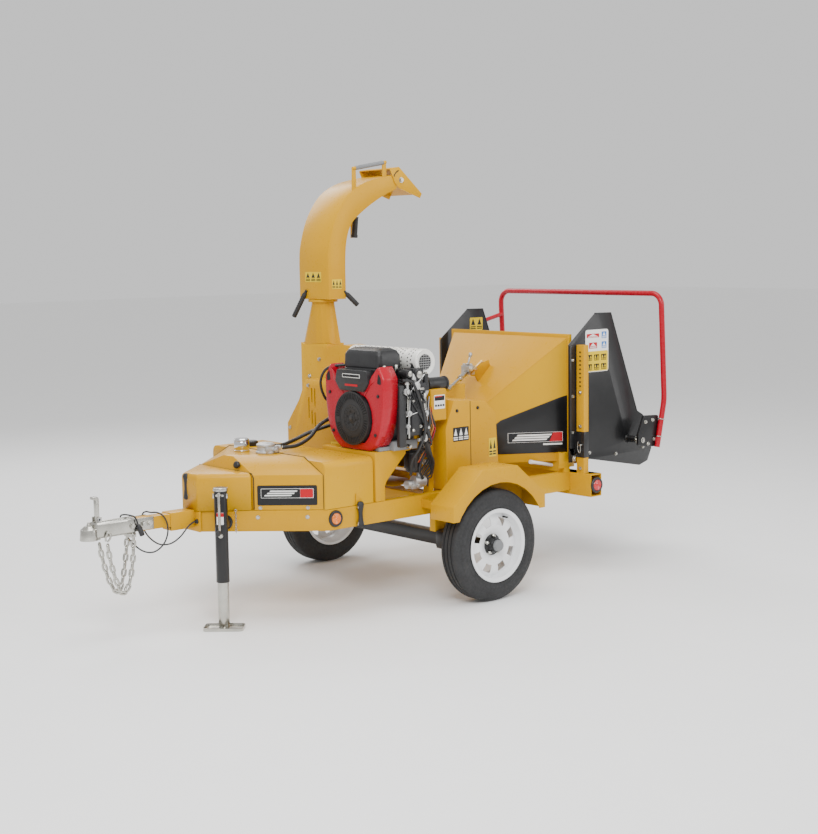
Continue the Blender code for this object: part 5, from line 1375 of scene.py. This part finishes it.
# ---- controls and guards --------------------------------------------------------------------
def controls():
    box_skin = refine("control_box", "yellow_enamel", 0.005, 4)
    box_skin.name = "control_box_skin"
    face = W(-0.1905, -0.4503, 0.0)
    ahead = Vector((1, 0, 0))
    label("control_panel", face + ahead * 0.012 + UP * 0.888, ahead, UP, 0.066, 0.064, "label_white",
          "chassis")
    label("control_panel_head", face + ahead * 0.015 + UP * 0.926 - Vector((0, 0.0004, 0)), ahead, UP, 0.060,
          0.022,
          "label_black", "chassis")
    label("control_panel_line", face + ahead * 0.018 + UP * 0.9425 - Vector((0, 0.0008, 0)), ahead, UP, 0.042,
          0.0045, "label_red", "chassis")
    buttons = []
    for i in range(4):
        c = face + ahead * (0.022 + 0.0155 * i) + UP * 0.904 - Vector((0, 0.0006, 0))
        buttons.append(lathe([(0.0, 0.0), (0.0052, 0.0), (0.0048, 0.003), (0.0, 0.0034)], c, (0, -1, 0), 20))
    finish_mesh("control_buttons", join(*buttons), "moulded_black", "chassis")
    dark = join(rod(W(-0.175, -0.390, 0.998), W(-0.060, -0.390, 0.998), 0.031, 36),
                rod(W(-0.178, -0.390, 0.998), W(-0.157, -0.390, 0.998), 0.0335, 36),
                rod(W(-0.068, -0.390, 0.998), W(-0.057, -0.390, 0.998), 0.0335, 36),
                block(-0.150, -0.085, -0.415, -0.365, 0.975, 0.985))
    finish_mesh("coil_housing", dark, "moulded_black", "chassis", 0.001)
    valve = join(block(0.410, 0.450, -0.060, 0.0, 0.985, 1.030),
                 block(0.417, 0.443, -0.066, 0.006, 0.995, 1.020),
                 rod(W(0.430, -0.052, 1.030), W(0.430, -0.052, 1.041), 0.009, 6),
                 rod(W(0.425, -0.008, 1.030), W(0.425, -0.008, 1.040), 0.009, 6))
    ob = finish_mesh("valve_block", valve, "cast_aluminium", "chassis", 0.0015)
    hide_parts("control_valve")
    link = join(rod(W(0.415, -0.041, 1.001), W(0.090, -0.250, 0.945), 0.0085, 24),
                rod(W(0.385, -0.060, 0.996), W(0.300, -0.115, 0.981), 0.0135, 28),
                rod(W(0.300, -0.115, 0.981), W(0.284, -0.125, 0.978), 0.0155, 6),
                rod(W(0.150, -0.211, 0.955), W(0.105, -0.240, 0.948), 0.0115, 20))
    finish_mesh("valve_link", link, "zinc_plate", "chassis", 0.001)
    brass = join(rod(W(0.405, -0.070, 1.006), W(0.452, -0.070, 1.012), 0.0085, 20),
                 rod(W(0.418, -0.062, 0.990), W(0.410, -0.100, 1.020), 0.0050, 16),
                 rod(W(0.436, -0.066, 1.016), W(0.470, -0.085, 1.050), 0.0045, 16),
                 lathe([(0.0, 0.0), (0.0085, 0.0), (0.0085, 0.007), (0.0, 0.008)], W(0.470, -0.085, 1.048),
                       (0.4, -0.2, 0.4), 20))
    finish_mesh("valve_levers", brass, "brass", "chassis", 0.0006)
    bracket = [(0.4950, 0.9460), (0.580, 1.0219), (0.572, 1.050), (0.420, 1.012), (0.424, 0.985),
               (0.478, 0.972)]
    finish_mesh("valve_bracket", prism(bracket, "y", -0.0334, -0.0276), "yellow_enamel", "chassis", 0.0006)
    lever = join(rod(W(0.4305, -0.030, 1.035), W(0.447, -0.030, 1.082), 0.0052, 20),
                 lathe([(0.0, -0.010), (0.006, -0.010), (0.0085, -0.004), (0.0100, 0.006), (0.0075, 0.0135),
                        (0.0, 0.0150)], W(0.447, -0.030, 1.080), (0.34, 0, 0.94), 28),
                 rod(W(0.4305, -0.0365, 1.036), W(0.4305, -0.0235, 1.036), 0.0075, 20))
    ob = finish_mesh("lever_arm", lever, "machined_steel", "valve_lever", 0.0006)
    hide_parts("valve_lever")


def side_guards():
    refine("side_guard", "yellow_enamel", 0.009, 4)
    refine("feed_box", "yellow_enamel", 0.003, 3)
    y = -0.4404
    # Painted shade: a thin dark strip along the bend line stands in for the shade in the fold.
    fold = [(0.058, 0.500), (0.062, 0.500), (0.0585, 0.9085), (0.0545, 0.9090)]
    finish_mesh("guard_fold_shade", prism(fold, "y", y, y + 0.0006), "painted_shade", "chassis")
    ahead = Vector((1, 0, 0))
    label("guard_notice", W(-0.054, y, 0.724), ahead, UP, 0.100, 0.066, "label_black", "chassis", 3,
          "label_white")
    label("guard_notice_rear", W(0.177, y, 0.630), ahead, UP, 0.048, 0.090, "label_yellow", "chassis", 2,
          "label_black")
    spots = [W(0.224, y, 0.522), W(-0.070, y, 0.520), W(0.030, y, 0.520)]
    bolts("guard_bolts", spots, (0, -1, 0), "chassis", 0.012, 0.007)
    spots = [W(0.105, y, 0.872), W(-0.028, y, 0.868)]
    bolts("guard_bolts_upper", spots, (0, -1, 0), "chassis", 0.011, 0.006, "moulded_black")


def belt_guards():
    refine("belt_guard", "yellow_enamel", 0.007, 4)
    x = -0.3154
    ahead = (-1, 0, 0)
    slits = []
    for y0, z0, z1 in ((0.320, 0.800, 0.905), (0.296, 0.880, 0.950), (0.296, 0.770, 0.840),
                       (0.272, 0.860, 0.950),
                       (0.272, 0.750, 0.830)):
        frame_bits = rounded([(y0 - 0.0062, z0 - 0.002), (y0 + 0.0062, z0 - 0.002), (y0 + 0.0062, z1 + 0.002),
                              (y0 - 0.0062, z1 + 0.002)], 0.006, 5)
        hole = rounded([(y0 - 0.0042, z0), (y0 + 0.0042, z0), (y0 + 0.0042, z1), (y0 - 0.0042, z1)], 0.004, 5)
        rows = [[W(x + 0.0006, y, z) for y, z in frame_bits], [W(x - 0.0008, y, z) for y, z in frame_bits],
                [W(x - 0.0004, y, z) for y, z in hole], [W(x + 0.0006, y, z) for y, z in hole]]
        slits.append(loft(rows, close=True))
    finish_mesh("guard_slit_rims", join(*slits), "yellow_enamel", "chassis")
    spots = [W(x, y, z) for y, z in ((-0.028, 0.552), (0.478, 0.552), (0.478, 0.742), (-0.028, 0.962),
                                     (0.322, 0.962))]
    bolts("belt_guard_bolts", spots, ahead, "chassis", 0.013, 0.007)
    label("belt_guard_notice", W(x, 0.150, 0.640), (0, -1, 0), UP, 0.085, 0.060, "label_yellow", "chassis", 3)


def rotor_case():
    refine("rotor_housing", "yellow_enamel", 0.003, 3)
    refine("rotor_stand", "yellow_enamel", 0.002, 2)
    refine("rotor_disc", "machined_steel", 0.001)
    cy, cz = 0.187, 0.820
    heads = []
    for i in range(14):
        t = math.radians(-75 + 21.5 * i)
        if -20 < math.degrees(t) % 360 < 20:
            continue
        heads.append(W(-0.0925, cy + 0.322 * math.cos(t), cz + 0.322 * math.sin(t)))
    heads = [p for p in heads if p.z > 0.60 and p.z < 1.10]
    bolts("case_bolts_rear", heads, (1, 0, 0), "chassis", 0.014, 0.008)
    heads = [Vector((W(-0.2005, 0, 0).x, p.y, p.z)) for p in heads if p.z > 0.60]
    bolts("case_bolts_front", heads, (-1, 0, 0), "chassis", 0.014, 0.008)
    bearing = join(lathe([(0.031, 0.0), (0.072, 0.0), (0.068, 0.012), (0.046, 0.020), (0.042, 0.030),
                          (0.031, 0.030)],
                         W(-0.0925, cy, cz), (1, 0, 0), 48))
    finish_mesh("rotor_bearing", bearing, "black_casting", "chassis", 0.0015)
    spots = [W(-0.0915, cy + 0.058 * math.cos(t), cz + 0.058 * math.sin(t)) for t in (0.8, 2.4, 3.9, 5.5)]
    bolts("bearing_bolts", spots, (1, 0, 0), "chassis", 0.012, 0.012)
    pan = block(-0.190, 0.270, -0.158, 0.300, 0.4988, 0.5025)
    finish_mesh("deck_pan", pan, "yellow_enamel", "chassis", 0.0008)
    label("case_notice", W(-0.12, 0.5278, 0.86), (-1, 0, 0), UP, 0.05, 0.05, "label_yellow", "chassis", 2)


# ---- feed hopper -------------------------------------------------------------------------------
def hopper_half(x):
    return 0.140 + 0.2846 * (x - 0.300) / 0.462


def hopper_side(s, points, proud=0.0):
    """Points (x, z) laid on a side plate of the funnel."""
    slope = 0.2846 / 0.462
    out = Vector((-slope, s, 0)).normalized()
    return [W(x, s * (hopper_half(x) + 0.0002), z) + out * proud for x, z in points], out


def hopper():
    refine("feed_hopper", "yellow_enamel", 0.0022, 3)
    refine("hopper_side_left", "yellow_enamel", 0.0002, 1)
    refine("hopper_side_right", "yellow_enamel", 0.0002, 1)
    for side, s in (("left", -1), ("right", 1)):
        corners = rounded([(0.430, 0.594), (0.755, 0.594), (0.755, 0.884), (0.716, 0.872), (0.455, 0.764),
                           (0.430, 0.742)], 0.008, 4)
        base, out = hopper_side(s, corners, 0.0004)
        top = [p + out * 0.0020 for p in base]
        finish_mesh("hopper_panel_" + side, loft([base, top]), "black_enamel", "chassis", 0.0008)
        band, out = hopper_side(s, [(0.486, 0.650), (0.726, 0.650), (0.726, 0.699), (0.486, 0.699)], 0.0026)
        finish_mesh("hopper_banner_" + side, loft([band, [p + out * 0.0003 for p in band]]), "label_white",
                    "chassis")
        field, out = hopper_side(s, [(0.4875, 0.6515), (0.7245, 0.6515), (0.7245, 0.6975), (0.4875, 0.6975)],
                                 0.0031)
        finish_mesh("hopper_banner_field_" + side, loft([field, [p + out * 0.0003 for p in field]]),
                    "label_black",
                    "chassis")
        tail, out = hopper_side(s, [(0.668, 0.6515), (0.7245, 0.6515), (0.7245, 0.6975), (0.684, 0.6975)],
                                0.0036)
        finish_mesh("hopper_banner_block_" + side, loft([tail, [p + out * 0.0003 for p in tail]]),
                    "label_red",
                    "chassis")
        marks = []
        for i in range(3):
            z = 0.6590 + 0.0115 * i
            x = 0.504 + 0.010 * i
            bar, out = hopper_side(s, [(x, z), (x + 0.150, z), (x + 0.155, z + 0.0075),
                                       (x + 0.005, z + 0.0075)],
                                   0.0036)
            marks.append(loft([bar, [p + out * 0.0003 for p in bar]]))
        bar, out = hopper_side(s, [(0.640, 0.634), (0.724, 0.634), (0.724, 0.642), (0.640, 0.642)], 0.0026)
        marks.append(loft([bar, [p + out * 0.0003 for p in bar]]))
        finish_mesh("hopper_banner_marks_" + side, join(*marks), "label_white", "chassis")
        foot, out = hopper_side(s, [(0.370, 0.618), (0.660, 0.618)], 0.0028)
        bolts("hopper_foot_bolts_" + side, foot[:1], out, "chassis", 0.0085, 0.005)
    finish_mesh("hopper_lip", tube([W(0.7560, -0.4180, 1.1740), W(0.7560, 0.4180, 1.1740)], 0.0062, 20),
                "yellow_enamel", "chassis")
    strut = join(rod(W(0.555, -0.352, 0.557), W(0.722, -0.352, 0.522), 0.0085, 24),
                 rod(W(0.545, -0.352, 0.559), W(0.560, -0.352, 0.556), 0.0100, 24),
                 rod(W(0.545, 0.352, 0.559), W(0.722, 0.352, 0.522), 0.0085, 24))
    finish_mesh("hopper_struts", strut, "white_enamel", "chassis")


def posts():
    """Latch plates, hole strips and hairpins on the two posts behind the hopper."""
    refine("rear_bumper", "yellow_enamel", 0.0035, 3)
    for side, s in (("left", -1), ("right", 1)):
        # Painted shade: dark rounded sheets stand in for the shaded holes in the post.
        slots = []
        for i in range(9):
            z = 1.100 - 0.021 * i
            c = W(0.7422, s * 0.507, z)
            slots.append(loft([[c + Vector((-d, a, b)) for a, b in
                                rounded([(-0.0060, -0.0038), (0.0060, -0.0038), (0.0060, 0.0038),
                                         (-0.0060, 0.0038)],
                                        0.0034, 4)] for d in (0.0, 0.0004)]))
        finish_mesh("post_slots_" + side, join(*slots), "painted_shade", "chassis")
        heads = [W(0.7422, s * 0.507, z) for z in (0.900, 0.730, 0.520)]
        bolts("post_bolts_" + side, heads, (-1, 0, 0), "chassis", 0.013, 0.007)
        y0, y1 = sorted((s * 0.4805, s * 0.5335))
        band = join(block(0.7412, 0.7424, y0, y1, 0.575, 0.705), block(0.7424, 0.7760, s * 0.5322 - 0.0006,
                                                                     s * 0.5322 + 0.0006, 0.575, 0.705))
        finish_mesh("post_band_" + side, band, "black_enamel", "chassis", 0.0008)
        pin = [W(0.728, s * 0.520, 0.640), W(0.728, s * 0.520, 0.610), W(0.730, s * 0.514, 0.600),
               W(0.730, s * 0.506, 0.606), W(0.728, s * 0.502, 0.625), W(0.730, s * 0.504, 0.655)]
        clip = join(tube(smooth_path(pin, 30), 0.0021, 10),
                    rod(W(0.722, s * 0.520, 0.640), W(0.7424, s * 0.520, 0.640),
                                                               0.0058, 20))
        finish_mesh("post_hairpin_" + side, clip, "zinc_plate", "chassis", angle=60)


# ---- feed table and control bar -------------------------------------------------------------------
def table():
    refine("feed_table", "black_enamel", 0.0015, 2)
    body = "feed_table"
    for side, s in (("left", -1), ("right", 1)):
        y = s * 0.4714
        out = (0, s, 0)
        edge = [(0.8930, 1.2845), (1.0105, 1.2845), (1.2145, 0.7680)]
        finish_mesh("wing_edge_" + side, tube([W(x, s * 0.4685, z) for x, z in edge], 0.0042, 14),
                    "black_enamel",
                    body)
        rolled = [(1.2145, 0.7670), (1.259, 0.7435), (1.3135, 0.6390), (1.3250, 0.5620)]
        finish_mesh("wing_roll_" + side, tube([W(x, s * 0.4685, z) for x, z in rolled], 0.0040, 14),
                    "black_enamel",
                    body)
        spots = [W(x, y, z) for x, z in ((0.850, 0.585), (1.050, 0.560), (1.262, 0.575))]
        bolts("wing_bolts_" + side, spots, out, body, 0.012, 0.006)
        spots = [W(0.7195, s * 0.4794, z) for z in (1.060, 0.880, 0.700)]
        bolts("wing_flange_bolts_" + side, spots, out, body, 0.012, 0.007)
        pivot = join(lathe([(0.0, 0.0), (0.0245, 0.0), (0.0245, 0.003), (0.0, 0.003)],
                           W(0.744, s * 0.4716, 0.566), out,
                           40),
                     hexagon(W(0.744, s * 0.4745, 0.566), out, 0.024, 0.006))
        finish_mesh("hinge_bolt_" + side, pivot, "zinc_plate", body, 0.0004)
        sleeve = lathe([(0.0106, 0.0), (0.0220, 0.0), (0.0180, 0.006), (0.0170, 0.012), (0.0170, 0.062),
                        (0.0106, 0.062)], W(1.140, s * 0.4716, 0.630), out, 36)
        finish_mesh("bar_sleeve_" + side, sleeve, "black_enamel", body, 0.0008)
        washer = join(rod(W(1.140, s * 0.5340, 0.630), W(1.140, s * 0.5400, 0.630), 0.0200, 36),
                      rod(W(1.140, s * 0.5400, 0.630), W(1.140, s * 0.5520, 0.630), 0.0170, 6),
                      rod(W(1.140, s * 0.5535, 0.630), W(1.140, s * 0.5570, 0.630), 0.0225, 36),
                      hexagon(W(1.140, s * 0.5765, 0.630), out, 0.019, 0.0034))
        finish_mesh("bar_pivot_" + side, washer, "zinc_plate", body, 0.0004)
    near_out = -0.4718
    right = Vector((1, 0, 0))
    label("wing_sign", W(0.820, near_out, 0.992), right, UP, 0.170, 0.212, "label_white", body)
    label("wing_sign_foot", W(0.823, near_out - 0.0004, 0.995), right, UP, 0.164, 0.101, "label_yellow", body)
    for i in range(3):
        for k in range(2):
            spot = W(0.830 + 0.053 * i, near_out - 0.0008, 1.002 + 0.047 * k)
            label("wing_sign_mark_%d%d" % (i, k), spot, right, UP, 0.038, 0.030, "label_black", body, 2,
                  "label_yellow")
    spots = [(0.829, 1.164, "label_red", 0.092, 0.020), (0.940, 1.158, "label_blue", 0.036, 0.034),
             (0.940, 1.108, "label_blue", 0.036, 0.034), (0.846, 1.110, "label_red", 0.060, 0.030)]
    for i, (x, z, ink, w, h) in enumerate(spots):
        label("wing_sign_field_%d" % i, W(x, near_out - 0.0004, z), right, UP, w, h, ink, body, 1,
              "label_white")
    label("wing_sign_far", W(0.912, 0.4654, 1.168), right, UP, 0.096, 0.070, "label_yellow", body, 2)
    floor_spots = [W(x, y, 0.5785 - (x - 0.790) * 0.1931 + 0.0010) for x in (0.84, 1.00,
        1.16) for y in (-0.40, 0.0,
                                                                                                     0.40)]
    bolts("floor_bolts", floor_spots, (0.19, 0, 0.98), body, 0.012, 0.004)


def control_bar():
    body = "control_bar"
    arc = [W(1.239, -0.585, 0.586), W(1.2855, -0.585, 0.790)]
    arc += [W(1.2900, -0.585, 0.812), W(1.2925, -0.585, 0.832), W(1.2927, -0.585, 0.858)]
    arc += [W(1.2705, -0.585, 1.290)]
    centre = W(1.270, -0.521, 1.310)
    for i in range(1, 13):
        t = math.pi / 2 * i / 12
        arc.append(centre + Vector((0, -0.064 * math.cos(t), 0.064 * math.sin(t))))
    far = [Vector((p.x, -p.y, p.z)) for p in arc[::-1]]
    ob = finish_mesh("bar_tube", tube(arc + far, 0.0143, 28), "red_enamel", body, angle=60)
    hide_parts("control_bar")
    brace = join(rod(W(1.272, 0.580, 1.243), W(1.095, 0.562, 1.208), 0.0115, 24),
                 rod(W(1.100, 0.5625, 1.209), W(1.080, 0.560, 1.205), 0.0120, 24))
    finish_mesh("bar_grip", brace, "red_enamel", body, angle=60)
    clamp = rounded([(1.105, 0.605), (1.105, 0.660), (1.150, 0.756), (1.262, 0.750), (1.255, 0.590),
                     (1.190, 0.590)],
                    0.012, 5)
    for side, s in (("left", -1), ("right", 1)):
        y0, y1 = sorted((s * 0.5600, s * 0.5745))
        finish_mesh("bar_clamp_" + side, prism(clamp, "y", y0, y1), "black_enamel", body, 0.0022)
        spots = [W(x, s * 0.5748, z) for x, z in ((1.215, 0.728), (1.228, 0.628), (1.160, 0.722),
                                                  (1.180, 0.608))]
        bolts("bar_clamp_bolts_" + side, spots, (0, s, 0), body, 0.013, 0.007)
        straps = []
        for z, x in ((0.640, 1.2513), (0.728, 1.2716)):
            loop = ring(W(x, s * 0.585, z), (0.22, 0, 0.97), 0.0162, 24)
            straps.append(tube(loop + loop[:1], 0.0024, 8))
        finish_mesh("bar_u_bolts_" + side, join(*straps), "zinc_plate", body, angle=60)


def rest_of_parts():
    """Nodes whose own shape, edges rounded, is all that is needed."""
    for finish, names in PLAIN.items():
        for node in names.split():
            refine(node, finish)


PLAIN = {
    "yellow_enamel": "cross_member_front fender_left fender_right",
    "black_enamel": "axle_beam",
    "machined_steel": "feed_roller roller_arm",
    "belt_rubber": "drive_belt",
    "moulded_black": "battery",
}


def main():
    materials()
    camera()
    cord()
    studio()
    for side, s in (("left", -1), ("right", 1)):
        wheel(side, s)
        fender_detail(side, s)
    chains()
    coupler()
    jack()
    lamps()
    tanks()
    tank_tops()
    engine()
    controls()
    side_guards()
    belt_guards()
    rotor_case()
    hopper()
    posts()
    table()
    control_bar()
    chute()
    deflector()
    rest_of_parts()


main()
